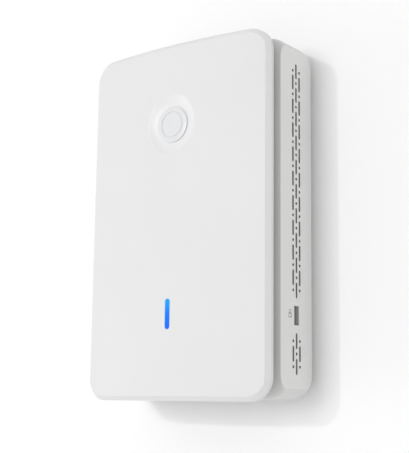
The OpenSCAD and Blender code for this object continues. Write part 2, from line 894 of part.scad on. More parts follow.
module switch_chip() {
    color("darkslategray") onwall() chip([-lower_x, lower_y], switch_w, switch_w, thin_chip_t);
}

module switch_shield() {
    color("silver") onwall() shield_can([-lower_x, lower_y], small_can_w, small_can_h, can_t);
}

module power_shield() {
    color("silver") onwall() shield_can([lower_x, lower_y], small_can_w, small_can_h, power_can_t);
}

// Winding between two flanges
module poe_transformer() {
    p = [-22, -24];
    foot_t = 2;
    cap_t = 2.1;
    top = board_z - transformer_h;
    color("goldenrod") onwall() {
        slab_at(p, transformer_half, transformer_half, 0.6, board_z - foot_t, board_z);
        disc(p, winding_r, top + cap_t - 0.1, board_z - foot_t + 0.1);
        slab_at(p, transformer_half, transformer_half, 0.6, top, top + cap_t);
    }
}

module power_inductor() {
    p = [21, -20];
    mark_r = 2.6;
    color("dimgray") onwall()
        difference() {
            slab_at(p, inductor_half, inductor_half, 1, board_z - inductor_h, board_z);
            disc(p, mark_r, board_z - inductor_h - past, board_z - inductor_h + 0.2);
        }
}

module capacitors() {
    first = [-29, -40];
    base_t = 1;
    color("midnightblue") onwall()
        for (i = [0:2]) {
            p = [first.x + i * capacitor_pitch, first.y];
            disc(p, capacitor_r, board_z - capacitor_h, board_z - base_t);
            slab_at(p, capacitor_r + 0.2, capacitor_r + 0.2, 0.5, board_z - base_t, board_z);
        }
}

module lan_magnetics() {
    half = [7.5, 5];
    tall = 5;
    color("black") onwall()
        for (x = [0, 17])
            slab_at([x, -40], half.x, half.y, 0.4, board_z - tall, board_z);
}

// Opening of one network port in plan: the wide part for the plug and the notch for its latch
module port_plan() {
    square([port_w, port_h], center = true);
    translate([0, -(port_h + notch_h) / 2 + tiny])
        square([notch_w, notch_h + 2 * tiny], center = true);
}

// Row of network jacks in one metal shell, opening downwards, with its feet on the board
module lan_jack() {
    mouth_step = 0.5; // the part outside the board's lower edge stays this far off the board's level
    color("lightslategray") onwall()
        difference() {
            union() {
                block([-jack_w / 2, jack_w / 2], [jack_low_y, jack_low_y + jack_l],
                    [board_z - jack_h, board_z - mouth_step]);
                block([-jack_w / 2, jack_w / 2], [mouth_step - board_b, jack_low_y + jack_l],
                    [board_z - mouth_step - 0.1, board_z]);
            }
            for (i = [0:ports - 1])
                translate([port_x(i), jack_low_y + port_l, port_mid])
                    rotate([90, 0, 0]) linear_extrude(port_l + past) port_plan();
        }
}

// Eight sprung wires over one port, as short straight bars l long
module contact_row(l) {
    gap = 1.02;
    bar = 0.3;
    for (i = [0:7])
        translate([(i - 3.5) * gap - bar / 2, 0, 0]) cube([bar, l, bar]);
}

module lan_contacts() {
    color("gold") onwall()
        for (i = [0:ports - 1])
            translate([port_x(i), jack_low_y + 5, port_mid + port_h / 2 - 0.3]) contact_row(contact_l);
}

// Single jack that opens to the back, over the bracket's cable window
module uplink_jack() {
    color("lightslategray") onwall()
        difference() {
            block([-uplink_w / 2, uplink_w / 2], [uplink_y - uplink_h / 2, uplink_y + uplink_h / 2],
                [uplink_low, board_z]);
            translate([0, uplink_y + uplink_shift, uplink_low - past])
                linear_extrude(port_l + past) port_plan();
        }
}

module uplink_contacts() {
    color("gold") onwall()
        translate([0, uplink_y + uplink_shift + port_h / 2 - 0.3, uplink_low + 12])
            rotate([-90, 0, 0]) contact_row(contact_l);
}

module reset_switch() {
    color("black") onwall()
        block([reset_x - switch_body_w / 2, reset_x + switch_body_w / 2],
            [switch_y, switch_y + switch_body_l], [board_z - switch_body_h, board_z]);
}

module reset_plunger() {
    tip_gap = 0.05;
    color("whitesmoke") onwall()
        translate([reset_x, reset_tip_y, reset_z])
            rotate([-90, 0, 0]) {
                cylinder(r = reset_r, h = switch_y - reset_tip_y - reset_travel - tip_gap);
                translate([0, 0, collar_y - reset_tip_y]) cylinder(r = collar_r, h = collar_t);
            }
}

// Stamped antenna: a plate of length l held off the board by two legs, at the point p
module antenna(p, turn, l) {
    plate_z = front_z + antenna_up;
    side = antenna_w / 2;
    leg = side - 2;
    color("goldenrod") onwall()
        translate([p.x, p.y, 0]) rotate(turn) {
            block([-l / 2, l / 2], [-side, side], [plate_z, plate_z + antenna_t]);
            for (x = [-l / 2, leg_pitch - l / 2])
                block([x, x + antenna_t], [-side, leg], [parts_z, plate_z + antenna_t]);
            block([-l / 2, leg_pitch - l / 2 + antenna_t], [-side, leg], [parts_z, parts_z + antenna_t]);
        }
}

module antenna_top_left() {
    antenna([-top_antenna_x, board_b - antenna_in], 0, antenna_l);
}

module antenna_top_right() {
    antenna([top_antenna_x, board_b - antenna_in], 180, antenna_l);
}

module antenna_side_left() {
    antenna([antenna_in - board_a, side_antenna_y], 90, side_antenna_l);
}

module antenna_side_right() {
    antenna([board_a - antenna_in, side_antenna_y], -90, side_antenna_l);
}

module rating_label() {
    color("white") onwall()
        slab_at([0, label_y], label_w / 2, label_h / 2, 1, pocket_z - label_t, pocket_z);
}

module bracket_plan() {
    difference() {
        translate([0, (bracket_low + bracket_high) / 2])
            rounded_plan(bracket_a, (bracket_high - bracket_low) / 2, corner_small);
        rounded_plan(window_w / 2, window_h / 2, corner_small);
        translate([-tongue_w / 2 - tongue_gap, tongue_y - steel_t / 2 - 0.05])
            square([tongue_w + 2 * tongue_gap, -tongue_y - window_h / 2 + 3]);
        for (s = [-1, 1]) {
            translate([s * screws_x / 2, 0]) rotate(90) strip(screw_d, screw_slot);
            translate([0, s * screws_y / 2]) strip(screw_d, screw_slot);
        }
    }
}

// One hook: a riser under the ledge and a lip in front of it
module hook(sx, y) {
    riser = 1.5;
    gap = 0.1;
    reach = ledge_h - riser;
    inner = bracket_a - ledge_w + 1.2;
    x = sx > 0 ? [inner, bracket_a] : [-bracket_a, -inner];
    block(x, [y - riser - gap, y - gap], [steel_t - gap, lip_z + hook_t]);
    block(x, [y - riser - gap, y + reach], [lip_z, lip_z + hook_t]);
}

module wall_bracket() {
    color("darkgray") onwall() {
        linear_extrude(steel_t) bracket_plan();
        for (sx = [-1, 1])
            for (y = [-hook_y, hook_y])
                hook(sx, y);
    }
}

module bracket_tongue() {
    color("gray") onwall()
        translate([-tongue_w / 2, tongue_y, root_z])
            rotate([tongue_a, 0, 0]) {
                translate([0, 0, -steel_t / 2]) cube([tongue_w, tongue_l, steel_t]);
                rotate([0, 90, 0]) cylinder(r = steel_t / 2, h = tongue_w);
            }
}

wall_bracket();
bracket_tongue();
housing();
front_cover();
badge();
light_pipe();
light_gasket();
main_board();
status_leds();
processor();
thermal_pad();
heat_spreader();
spreader_screws();
memory_chips();
radio_chips();
radio_shield();
switch_chip();
switch_shield();
power_shield();
poe_transformer();
power_inductor();
capacitors();
lan_magnetics();
lan_jack();
lan_contacts();
uplink_jack();
uplink_contacts();
reset_switch();
reset_plunger();
antenna_top_left();
antenna_top_right();
antenna_side_left();
antenna_side_right();
lock_plate();
lock_plate_screw();
cover_screws();
rating_label();
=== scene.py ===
"""Looks of the wall-mounted wireless access point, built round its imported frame.

Every piece is drawn in millimetres in the drawing frame of the part's source, with x to the
right, y up and z out of the wall. Bench.stand_up() then turns it into the row frame, in metres.
"""

import json
import logging
import math
from collections.abc import Callable, Iterable
from dataclasses import dataclass, field
from enum import Enum

import bmesh
import bpy
from mathutils import Matrix, Vector


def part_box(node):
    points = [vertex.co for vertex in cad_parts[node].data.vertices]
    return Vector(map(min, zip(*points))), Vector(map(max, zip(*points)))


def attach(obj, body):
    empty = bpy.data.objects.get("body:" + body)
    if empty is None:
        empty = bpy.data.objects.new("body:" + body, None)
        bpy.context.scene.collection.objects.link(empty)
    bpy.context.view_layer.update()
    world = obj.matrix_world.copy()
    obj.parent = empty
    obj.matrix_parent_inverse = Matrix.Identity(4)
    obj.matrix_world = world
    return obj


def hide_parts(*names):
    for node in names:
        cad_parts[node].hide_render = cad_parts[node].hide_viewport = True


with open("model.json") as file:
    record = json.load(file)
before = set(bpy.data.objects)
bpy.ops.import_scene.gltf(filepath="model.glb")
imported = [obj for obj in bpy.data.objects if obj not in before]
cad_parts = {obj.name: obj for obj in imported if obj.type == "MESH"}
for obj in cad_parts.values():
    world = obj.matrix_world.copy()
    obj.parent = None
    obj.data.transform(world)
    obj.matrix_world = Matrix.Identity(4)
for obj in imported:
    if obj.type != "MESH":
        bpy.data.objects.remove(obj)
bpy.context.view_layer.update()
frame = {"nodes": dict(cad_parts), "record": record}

logging.basicConfig(level=logging.INFO, format="%(message)s")
log = logging.getLogger("access_point")

Piece = bpy.types.Object
Socket = bpy.types.NodeSocket
Edge = bmesh.types.BMEdge
Colour = tuple[float, float, float]
shift, spin = Matrix.Translation, Matrix.Rotation

MM = 0.001
TINY = 0.001
CORNERS = ((-1, -1), (-1, 1), (1, -1), (1, 1))


class Body(Enum):
    """Bodies of the frame that a piece can ride on."""

    BRACKET = "bracket"
    TONGUE = "tongue"
    UNIT = "unit"
    RESET = "reset"


class Axis(Enum):
    """Directions of the drawing frame that a turned or drawn piece can point along."""

    RIGHT = "right"
    UP = "up"
    OUT = "out"

    def turn(self) -> Matrix:
        """Rotation that carries the outward direction to this one."""
        if self is Axis.RIGHT:
            return spin(math.pi / 2, 4, "Y")
        if self is Axis.UP:
            return spin(-math.pi / 2, 4, "X")
        return Matrix.Identity(4)


@dataclass(frozen=True)
class Span:
    """Box of a CAD node in the drawing frame, in millimetres."""

    low: Vector
    high: Vector

    @classmethod
    def of(cls, node: str) -> "Span":
        """Read the box of a CAD node, given by its name, from the frame."""
        low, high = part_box(node)
        return cls(Vector((low.x, low.z, -high.y)) / MM, Vector((high.x, high.z, -low.y)) / MM)

    @property
    def middle(self) -> Vector:
        """Centre of the box."""
        return (self.low + self.high) / 2

    @property
    def size(self) -> Vector:
        """Size of the box along x, y and z."""
        return self.high - self.low


class Bench:
    """Modelling steps in object and edit mode, shared by every piece."""

    @staticmethod
    def rest() -> None:
        """Leave edit mode and deselect everything."""
        active = bpy.context.view_layer.objects.active
        if active is not None and active.mode != "OBJECT":
            bpy.ops.object.mode_set(mode="OBJECT")
        bpy.ops.object.select_all(action="DESELECT")

    @staticmethod
    def take(piece: Piece) -> None:
        """Make one piece the only selected and active one.

        Args:
            piece: the piece to work on.
        """
        Bench.rest()
        piece.select_set(True)
        bpy.context.view_layer.objects.active = piece

    @staticmethod
    def edit(piece: Piece) -> None:
        """Take a piece into edit mode with all of it selected.

        Args:
            piece: the piece, which is left in edit mode.
        """
        Bench.take(piece)
        bpy.ops.object.mode_set(mode="EDIT")
        bpy.ops.mesh.select_all(action="SELECT")

    @staticmethod
    def settle(name: str) -> Piece:
        """Name the active object and put its place into its mesh.

        Args:
            name: name of the new piece.

        Returns:
            The piece.
        """
        piece = bpy.context.view_layer.objects.active
        piece.name = name
        piece.data.name = name
        bpy.ops.object.transform_apply(location=True, rotation=True, scale=True)
        return piece

    @staticmethod
    def pick(piece: Piece, kind: str, test: Callable[[Edge | bmesh.types.BMFace], bool]) -> int:
        """Select edges or faces in edit mode by a test.

        Args:
            piece: the piece, which is left in edit mode.
            kind: "EDGE" or "FACE".
            test: says whether an edge or a face is wanted.

        Returns:
            How many were selected.
        """
        Bench.take(piece)
        bpy.ops.object.mode_set(mode="EDIT")
        bpy.ops.mesh.select_mode(type=kind)
        bpy.ops.mesh.select_all(action="DESELECT")
        mesh = bmesh.from_edit_mesh(piece.data)
        found = [item for item in (mesh.edges if kind == "EDGE" else mesh.faces) if test(item)]
        for item in found:
            item.select_set(True)
        mesh.select_flush_mode()
        bmesh.update_edit_mesh(piece.data)
        return len(found)

    @staticmethod
    def bevel(piece: Piece, test: Callable[[Edge], bool], width: float, segments: int) -> None:
        """Round or chamfer the edges that pass a test.

        Args:
            piece: the piece.
            test: says whether an edge is wanted.
            width: width of the bevel.
            segments: number of faces across it.
        """
        if Bench.pick(piece, "EDGE", test):
            bpy.ops.mesh.bevel(offset=width, segments=segments, affect="EDGES", clamp_overlap=True)
        Bench.rest()

    @staticmethod
    def soften(piece: Piece, width: float, segments: int = 2, angle: float = 25) -> None:
        """Round every crease that is sharper than an angle.

        Args:
            piece: the piece.
            width: width of the rounding.
            segments: number of faces across it.
            angle: smallest crease to round, in degrees.
        """
        limit = math.radians(angle)

        def sharp(edge: Edge) -> bool:
            """Whether two faces meet here at more than the limit."""
            return len(edge.link_faces) == 2 and edge.calc_face_angle(0) > limit

        Bench.bevel(piece, sharp, width, segments)

    @staticmethod
    def slab(
        name: str, half_w: float, half_h: float, low_z: float, high_z: float, radius: float = 0.0,
        at: tuple[float, float] = (0.0, 0.0), segments: int = 10,
    ) -> Piece:
        """Flat slab with rounded corners in its outline.

        Args:
            name: name of the piece.
            half_w: half width.
            half_h: half height.
            low_z: rear face.
            high_z: front face.
            radius: corner radius, 0 for sharp corners.
            at: middle of the slab in x and y.
            segments: number of faces round each corner.

        Returns:
            The slab.
        """
        Bench.rest()
        bpy.ops.mesh.primitive_cube_add(
            size=1, location=(at[0], at[1], (low_z + high_z) / 2),
            scale=(2 * half_w, 2 * half_h, high_z - low_z),
        )
        piece = Bench.settle(name)
        if radius > 0:
            Bench.bevel(piece, Bench.runs_out, radius, segments)
        return piece

    @staticmethod
    def runs_out(edge: Edge) -> bool:
        """Whether an edge points straight out of the wall."""
        along = edge.verts[1].co - edge.verts[0].co
        return abs(along.x) < TINY and abs(along.y) < TINY

    @staticmethod
    def at_level(level: float) -> Callable[[Edge], bool]:
        """Test for the edges that lie at one level."""
        return lambda edge: all(abs(vertex.co.z - level) < TINY for vertex in edge.verts)

    @staticmethod
    def box(name: str, low: Iterable[float], high: Iterable[float]) -> Piece:
        """Plain block between two corners.

        Args:
            name: name of the piece.
            low: lowest corner.
            high: highest corner.

        Returns:
            The block.
        """
        low, high = Vector(low), Vector(high)
        Bench.rest()
        bpy.ops.mesh.primitive_cube_add(size=1, location=(low + high) / 2, scale=high - low)
        return Bench.settle(name)

    @staticmethod
    def pillow(
        name: str, half: Vector, low_z: float, high_z: float, corner: float, front_r: float,
        rear_r: float, segments: int = 10,
    ) -> Piece:
        """Slab whose front and rear edges are rounded as well as its corners.

        Args:
            name: name of the piece.
            half: half width and half height.
            low_z: rear face.
            high_z: front face.
            corner: corner radius of the outline.
            front_r: radius of the front edges.
            rear_r: radius of the rear edges.
            segments: number of faces across each rounding.

        Returns:
            The pillow.
        """
        piece = Bench.slab(name, half.x, half.y, low_z, high_z, corner, segments=segments + 4)
        for level, radius in ((high_z, front_r), (low_z, rear_r)):
            Bench.bevel(piece, Bench.at_level(level), radius, segments)
        return piece

    @staticmethod
    def turned(
        name: str, centre: Iterable[float], profile: list[tuple[float, float]],
        axis: Axis = Axis.OUT, sides: int = 32,
    ) -> Piece:
        """Closed solid turned on a lathe, from a disc by repeated extrusion.

        Args:
            name: name of the piece.
            centre: point that heights are counted from.
            profile: radius and height of each ring, from one end to the other.
            axis: direction that heights are counted along.
            sides: number of faces round it.

        Returns:
            The solid.
        """
        Bench.rest()
        bpy.ops.mesh.primitive_circle_add(
            vertices=sides, radius=profile[0][0], fill_type="NGON", location=(0, 0, profile[0][1])
        )
        piece = Bench.settle(name)
        bpy.ops.object.mode_set(mode="EDIT")
        bpy.ops.mesh.select_mode(type="FACE")
        bpy.ops.mesh.select_all(action="SELECT")
        for (r0, z0), (r1, z1) in zip(profile, profile[1:]):
            bpy.ops.mesh.extrude_region_move(TRANSFORM_OT_translate={"value": (0, 0, z1 - z0)})
            bpy.ops.transform.resize(value=(r1 / r0, r1 / r0, 1), center_override=(0, 0, z1))
        bpy.ops.mesh.select_all(action="SELECT")
        bpy.ops.mesh.normals_make_consistent(inside=False)
        Bench.rest()
        piece.data.transform(shift(Vector(centre)) @ axis.turn())
        return piece

    @staticmethod
    def rod(name: str, at: Vector, radius: float, low: float, high: float) -> Piece:
        """Round rod that stands out of the wall between two levels."""
        return Bench.turned(name, (at.x, at.y, 0), [(radius, low), (radius, high)])

    @staticmethod
    def pill(
        name: str, centre: Iterable[float], width: float, length: float, depth: float,
        turn: Matrix = Matrix.Identity(4), sides: int = 32,
    ) -> Piece:
        """Upright strip with round ends, extruded equally to both sides of its centre.

        Args:
            name: name of the piece.
            centre: middle of the strip.
            width: width across it.
            length: length over the round ends.
            depth: thickness.
            turn: rotation about the centre.
            sides: number of edges in the two round ends together.

        Returns:
            The strip.
        """
        Bench.rest()
        bpy.ops.mesh.primitive_circle_add(
            vertices=sides, radius=width / 2, fill_type="NGON", location=(0, 0, -depth / 2),
            rotation=(0, 0, math.pi / sides),
        )
        piece = Bench.settle(name)
        Bench.edit(piece)
        bpy.ops.mesh.extrude_region_move(TRANSFORM_OT_translate={"value": (0, 0, depth)})
        bpy.ops.mesh.select_all(action="SELECT")
        bpy.ops.mesh.normals_make_consistent(inside=False)
        Bench.rest()
        spread = (length - width) / 2
        for vertex in piece.data.vertices:
            vertex.co.y += math.copysign(spread, vertex.co.y)
        piece.data.transform(shift(Vector(centre)) @ turn)
        return piece

    @staticmethod
    def copy(piece: Piece, name: str, place: Matrix) -> Piece:
        """Copy a piece with a mesh of its own.

        Args:
            piece: the piece to copy.
            name: name of the copy.
            place: transform applied to the copy's mesh.

        Returns:
            The copy.
        """
        twin = piece.copy()
        twin.data = piece.data.copy()
        twin.name = name
        twin.data.name = name
        twin.data.transform(place)
        bpy.context.scene.collection.objects.link(twin)
        return twin

    @staticmethod
    def join(name: str, pieces: list[Piece]) -> Piece:
        """Join pieces into one object.

        Args:
            name: name of the result.
            pieces: the pieces, of which the first one stays.

        Returns:
            The joined piece.
        """
        Bench.take(pieces[0])
        for piece in pieces:
            piece.select_set(True)
        bpy.ops.object.join()
        pieces[0].name = name
        pieces[0].data.name = name
        return pieces[0]

    @staticmethod
    def combine(
        target: Piece, tools: list[Piece], operation: str = "DIFFERENCE", finish: str = "INDEX"
    ) -> Piece:
        """Cut tools out of a piece, or weld them to it, one after another.

        Args:
            target: the piece that stays.
            tools: the tools, which are used up.
            operation: "DIFFERENCE", "UNION" or "INTERSECT".
            finish: "TRANSFER" carries the tools' finishes over to the faces that they leave.

        Returns:
            The piece.
        """
        for tool in tools:
            Bench.take(target)
            modifier = target.modifiers.new("combine", "BOOLEAN")
            modifier.operation = operation
            modifier.solver = "EXACT"
            modifier.material_mode = finish
            modifier.object = tool
            bpy.ops.object.modifier_apply(modifier=modifier.name)
            bpy.data.objects.remove(tool, do_unlink=True)
        return target

    @staticmethod
    def trim(piece: Piece, point: Iterable[float], outward: Iterable[float]) -> None:
        """Slice off what lies beyond a plane and close the cut.

        Args:
            piece: the piece.
            point: a point on the plane.
            outward: direction that points to the waste.
        """
        Bench.edit(piece)
        bpy.ops.mesh.bisect(
            plane_co=point, plane_no=outward, use_fill=True, clear_outer=True, clear_inner=False
        )
        Bench.rest()

    @staticmethod
    def slice(piece: Piece, places: Iterable[float]) -> None:
        """Score upright lines across a piece, so that it can follow a curve.

        Args:
            piece: the piece.
            places: distances of the lines from the middle.
        """
        Bench.take(piece)
        bpy.ops.object.mode_set(mode="EDIT")
        for x in places:
            bpy.ops.mesh.select_all(action="SELECT")
            bpy.ops.mesh.bisect(plane_co=(x, 0, 0), plane_no=(1, 0, 0))
        Bench.rest()

    @staticmethod
    def tidy(piece: Piece) -> None:
        """Merge doubled points and dissolve edges without length.

        Args:
            piece: the piece.
        """
        Bench.edit(piece)
        bpy.ops.mesh.remove_doubles(threshold=0.002)
        bpy.ops.mesh.dissolve_degenerate(threshold=0.001)
        Bench.rest()

    @staticmethod
    def stand_up(piece: Piece, angle: float = 32) -> Piece:
        """Turn a drawn piece into the row frame and smooth its round faces.

        Args:
            piece: the piece, in millimetres in the drawing frame.
            angle: creases sharper than this stay sharp, in degrees.

        Returns:
            The piece, in metres in the row frame.
        """
        Bench.take(piece)
        piece.data.transform(Matrix.Scale(MM, 4) @ spin(math.pi / 2, 4, "X"))
        bpy.ops.object.shade_smooth_by_angle(angle=math.radians(angle))
        Bench.rest()
        return piece

    @staticmethod
    def even(piece: Piece) -> None:
        """Let the large faces of a piece decide how its smooth faces are shaded.

        Args:
            piece: the piece, already smoothed.
        """
        Bench.take(piece)
        modifier = piece.modifiers.new("even", "WEIGHTED_NORMAL")
        modifier.keep_sharp = True
        bpy.ops.object.modifier_apply(modifier=modifier.name)
        Bench.rest()


class Nodes:
    """Short hand for wiring a node material."""

    def __init__(self, name: str) -> None:
        """Start a material with one principled shader.

        Args:
            name: name of the material.
        """
        self.material = bpy.data.materials.new(name)
        self.material.use_nodes = True
        self.tree = self.material.node_tree
        self.tree.nodes.clear()
        self.output = self.add("ShaderNodeOutputMaterial")
        self.shader = self.add("ShaderNodeBsdfPrincipled")
        self.link(self.shader.outputs["BSDF"], self.output.inputs["Surface"])
        self.place = self.add("ShaderNodeTexCoord").outputs["Object"]

    def add(self, kind: str, **values: object) -> bpy.types.Node:
        """Add a node and set its own properties.

        Args:
            kind: the node's type.
            values: properties of the node.

        Returns:
            The node.
        """
        made = self.tree.nodes.new(kind)
        for key, value in values.items():
            setattr(made, key, value)
        return made

    def link(self, source: Socket, target: Socket) -> None:
        """Wire an output to an input."""
        self.tree.links.new(source, target)

    def set(self, **values: object) -> None:
        """Set sockets of the principled shader, named with underscores for spaces."""
        for key, value in values.items():
            self.shader.inputs[key.replace("_", " ")].default_value = value

    def noise(self, scale: float, detail: float = 3, rough: float = 0.5) -> Socket:
        """Grain on the piece's own place.

        Args:
            scale: grains per metre.
            detail: number of finer layers.
            rough: strength of the finer layers.

        Returns:
            The grain, from 0 to 1.
        """
        made = self.add("ShaderNodeTexNoise")
        made.inputs["Scale"].default_value = scale
        made.inputs["Detail"].default_value = detail
        made.inputs["Roughness"].default_value = rough
        self.link(self.place, made.inputs["Vector"])
        return made.outputs["Fac"]

    def ramp(self, source: Socket, stops: list[tuple[float, tuple[float, ...]]]) -> Socket:
        """Turn a number into a colour.

        Args:
            source: the number.
            stops: places and their colours.

        Returns:
            The colour.
        """
        made = self.add("ShaderNodeValToRGB")
        band = made.color_ramp
        while len(band.elements) < len(stops):
            band.elements.new(0.5)
        for element, (position, colour) in zip(band.elements, stops):
            element.position = position
            element.color = (*colour, 1.0)
        self.link(source, made.inputs["Fac"])
        return made.outputs["Color"]

    def spread(self, source: Socket, low: float, high: float) -> Socket:
        """Map a number from 0..1 to another range.

        Args:
            source: the number.
            low: value at 0.
            high: value at 1.

        Returns:
            The mapped number.
        """
        made = self.add("ShaderNodeMapRange")
        made.inputs["To Min"].default_value = low
        made.inputs["To Max"].default_value = high
        self.link(source, made.inputs["Value"])
        return made.outputs["Result"]

    def along(self, axis: str, start: float, end: float) -> Socket:
        """Number that runs from 0 at one place along an axis to 1 at another.

        Args:
            axis: "X", "Y" or "Z".
            start: place of 0, in metres.
            end: place of 1, in metres.

        Returns:
            The number.
        """
        parts, made = self.add("ShaderNodeSeparateXYZ"), self.add("ShaderNodeMapRange")
        self.link(self.place, parts.inputs["Vector"])
        made.inputs["From Min"].default_value = start
        made.inputs["From Max"].default_value = end
        self.link(parts.outputs[axis], made.inputs["Value"])
        return made.outputs["Result"]

    def bump(self, source: Socket, strength: float, distance: float) -> None:
        """Let a number raise the surface.

        Args:
            source: the height, from 0 to 1.
            strength: how much of it shows.
            distance: height of 1, in metres.
        """
        made = self.add("ShaderNodeBump")
        made.inputs["Strength"].default_value = strength
        made.inputs["Distance"].default_value = distance
        self.link(source, made.inputs["Height"])
        self.link(made.outputs["Normal"], self.shader.inputs["Normal"])


@dataclass(frozen=True)
class MouldedPlastic:
    """Moulded plastic with a fine spark texture and slight flow variation, and painted shade that
    can darken it towards one level.

    Attributes:
        name: name of the finish.
        colour: its mean colour.
        rough: its mean roughness.
        grain: grains of the texture per metre.
        height: height of the texture, in metres.
        shade: share of the colour that is left at the far level, as painted shade.
        near: distance from the wall where the shade starts, in metres.
        far: distance from the wall where the shade is full, in metres.
    """

    name: str
    colour: Colour
    rough: float = 0.42
    grain: float = 2600.0
    height: float = 0.00003
    shade: float = 1.0
    near: float = 0.0
    far: float = 1.0

    def build(self) -> bpy.types.Material:
        """Make the material."""
        wires = Nodes(self.name)
        cloud = wires.noise(35.0, 2.0)
        darker = tuple(c * 0.985 for c in self.colour)
        colour = wires.ramp(cloud, [(0.3, darker), (0.7, self.colour)])
        # Painted shade: multiply the colour down from the near level to the far level.
        if self.shade < 1:
            mix = wires.add("ShaderNodeMix", data_type="RGBA", blend_type="MULTIPLY")
            wires.link(wires.along("Y", -self.near, -self.far), mix.inputs["Factor"])
            first, second = (slot for slot in mix.inputs if slot.type == "RGBA")
            wires.link(colour, first)
            second.default_value = (self.shade, self.shade, self.shade, 1)
            colour = next(slot for slot in mix.outputs if slot.type == "RGBA")
        wires.link(colour, wires.shader.inputs["Base Color"])
        grain = wires.noise(self.grain, 2.0, 0.6)
        wires.link(
            wires.spread(grain, self.rough - 0.05, self.rough + 0.05),
            wires.shader.inputs["Roughness"],
        )
        wires.bump(grain, 0.35, self.height)
        wires.set(IOR=1.49)
        return wires.material


@dataclass(frozen=True)
class SheetMetal:
    """Rolled or plated sheet metal with a drawn grain and faint stains.

    Attributes:
        name: name of the finish.
        colour: its mean colour.
        rough: its mean roughness.
        brush: stretch of the grain along x, y and z, in grains per metre.
    """

    name: str
    colour: Colour
    rough: float = 0.38
    brush: tuple[float, float, float] = (120.0, 2500.0, 2500.0)

    def build(self) -> bpy.types.Material:
        """Make the material."""
        wires = Nodes(self.name)
        mapping = wires.add("ShaderNodeMapping")
        mapping.inputs["Scale"].default_value = self.brush
        wires.link(wires.place, mapping.inputs["Vector"])
        grain = wires.add("ShaderNodeTexNoise")
        grain.inputs["Scale"].default_value = 1.0
        grain.inputs["Detail"].default_value = 3.0
        wires.link(mapping.outputs["Vector"], grain.inputs["Vector"])
        stain = wires.noise(700.0, 4.0)
        darker = tuple(c * 0.88 for c in self.colour)
        wires.link(
            wires.ramp(stain, [(0.35, darker), (0.65, self.colour)]),
            wires.shader.inputs["Base Color"],
        )
        wires.link(
            wires.spread(grain.outputs["Fac"], self.rough - 0.1, self.rough + 0.12),
            wires.shader.inputs["Roughness"],
        )
        wires.bump(grain.outputs["Fac"], 0.25, 0.00002)
        wires.set(Metallic=1.0)
        return wires.material


@dataclass(frozen=True)
class LitStrip:
    """Light pipe that glows, its colour shading along its length.

    Attributes:
        name: name of the finish.
        top: colour at the upper end.
        foot: colour at the lower end.
        low: height of the lower end, in metres.
        high: height of the upper end, in metres.
        strength: brightness.
    """

    name: str
    top: Colour
    foot: Colour
    low: float
    high: float
    strength: float = 1.0

    def build(self) -> bpy.types.Material:
        """Make the material."""
        wires = Nodes(self.name)
        middle = tuple(0.75 * f + 0.25 * t for f, t in zip(self.foot, self.top))
        stops = [(0.0, self.foot), (0.5, middle), (1.0, self.top)]
        glow = wires.ramp(wires.along("Z", self.low, self.high), stops)
        wires.link(glow, wires.shader.inputs["Emission Color"])
        wires.set(Base_Color=(0.005, 0.01, 0.02, 1), Emission_Strength=self.strength)
        wires.set(Roughness=0.35, Specular_IOR_Level=0.15)
        return wires.material


@dataclass(frozen=True)
class SolderMask:
    """Green board with copper runs and bare pads under its lacquer.

    Attributes:
        name: name of the finish.
        colour: colour of the lacquer.
    """

    name: str
    colour: Colour

    def build(self) -> bpy.types.Material:
        """Make the material."""
        wires = Nodes(self.name)
        runs = wires.add("ShaderNodeTexBrick")
        runs.inputs["Scale"].default_value = 260.0
        runs.inputs["Mortar Size"].default_value = 0.035
        runs.inputs["Color1"].default_value = (*self.colour, 1)
        runs.inputs["Color2"].default_value = (*(c * 0.8 for c in self.colour), 1)
        runs.inputs["Mortar"].default_value = (*(min(1, c * 2.2 + 0.02) for c in self.colour), 1)
        turn = wires.add("ShaderNodeMapping")
        turn.inputs["Rotation"].default_value = (math.pi / 2, 0, 0)
        wires.link(wires.place, turn.inputs["Vector"])
        wires.link(turn.outputs["Vector"], runs.inputs["Vector"])
        wires.link(runs.outputs["Color"], wires.shader.inputs["Base Color"])
        wires.bump(runs.outputs["Fac"], 0.3, 0.00005)
        wires.set(Roughness=0.3, Coat_Weight=0.4, Coat_Roughness=0.15)
        return wires.material


@dataclass(frozen=True)
class PaintedWall:
    """Plain painted wall that is only there seen from its front.

    Attributes:
        name: name of the finish.
        colour: its colour.
    """

    name: str
    colour: Colour

    def build(self) -> bpy.types.Material:
        """Make the material."""
        wires = Nodes(self.name)
        wires.set(Base_Color=(*self.colour, 1), Roughness=0.9, Specular_IOR_Level=0.1)
        clear = wires.add("ShaderNodeBsdfTransparent")
        mix = wires.add("ShaderNodeMixShader")
        side = wires.add("ShaderNodeNewGeometry")
        wires.link(side.outputs["Backfacing"], mix.inputs["Fac"])
        wires.link(wires.shader.outputs["BSDF"], mix.inputs[1])
        wires.link(clear.outputs["BSDF"], mix.inputs[2])
        wires.link(mix.outputs["Shader"], wires.output.inputs["Surface"])
        return wires.material


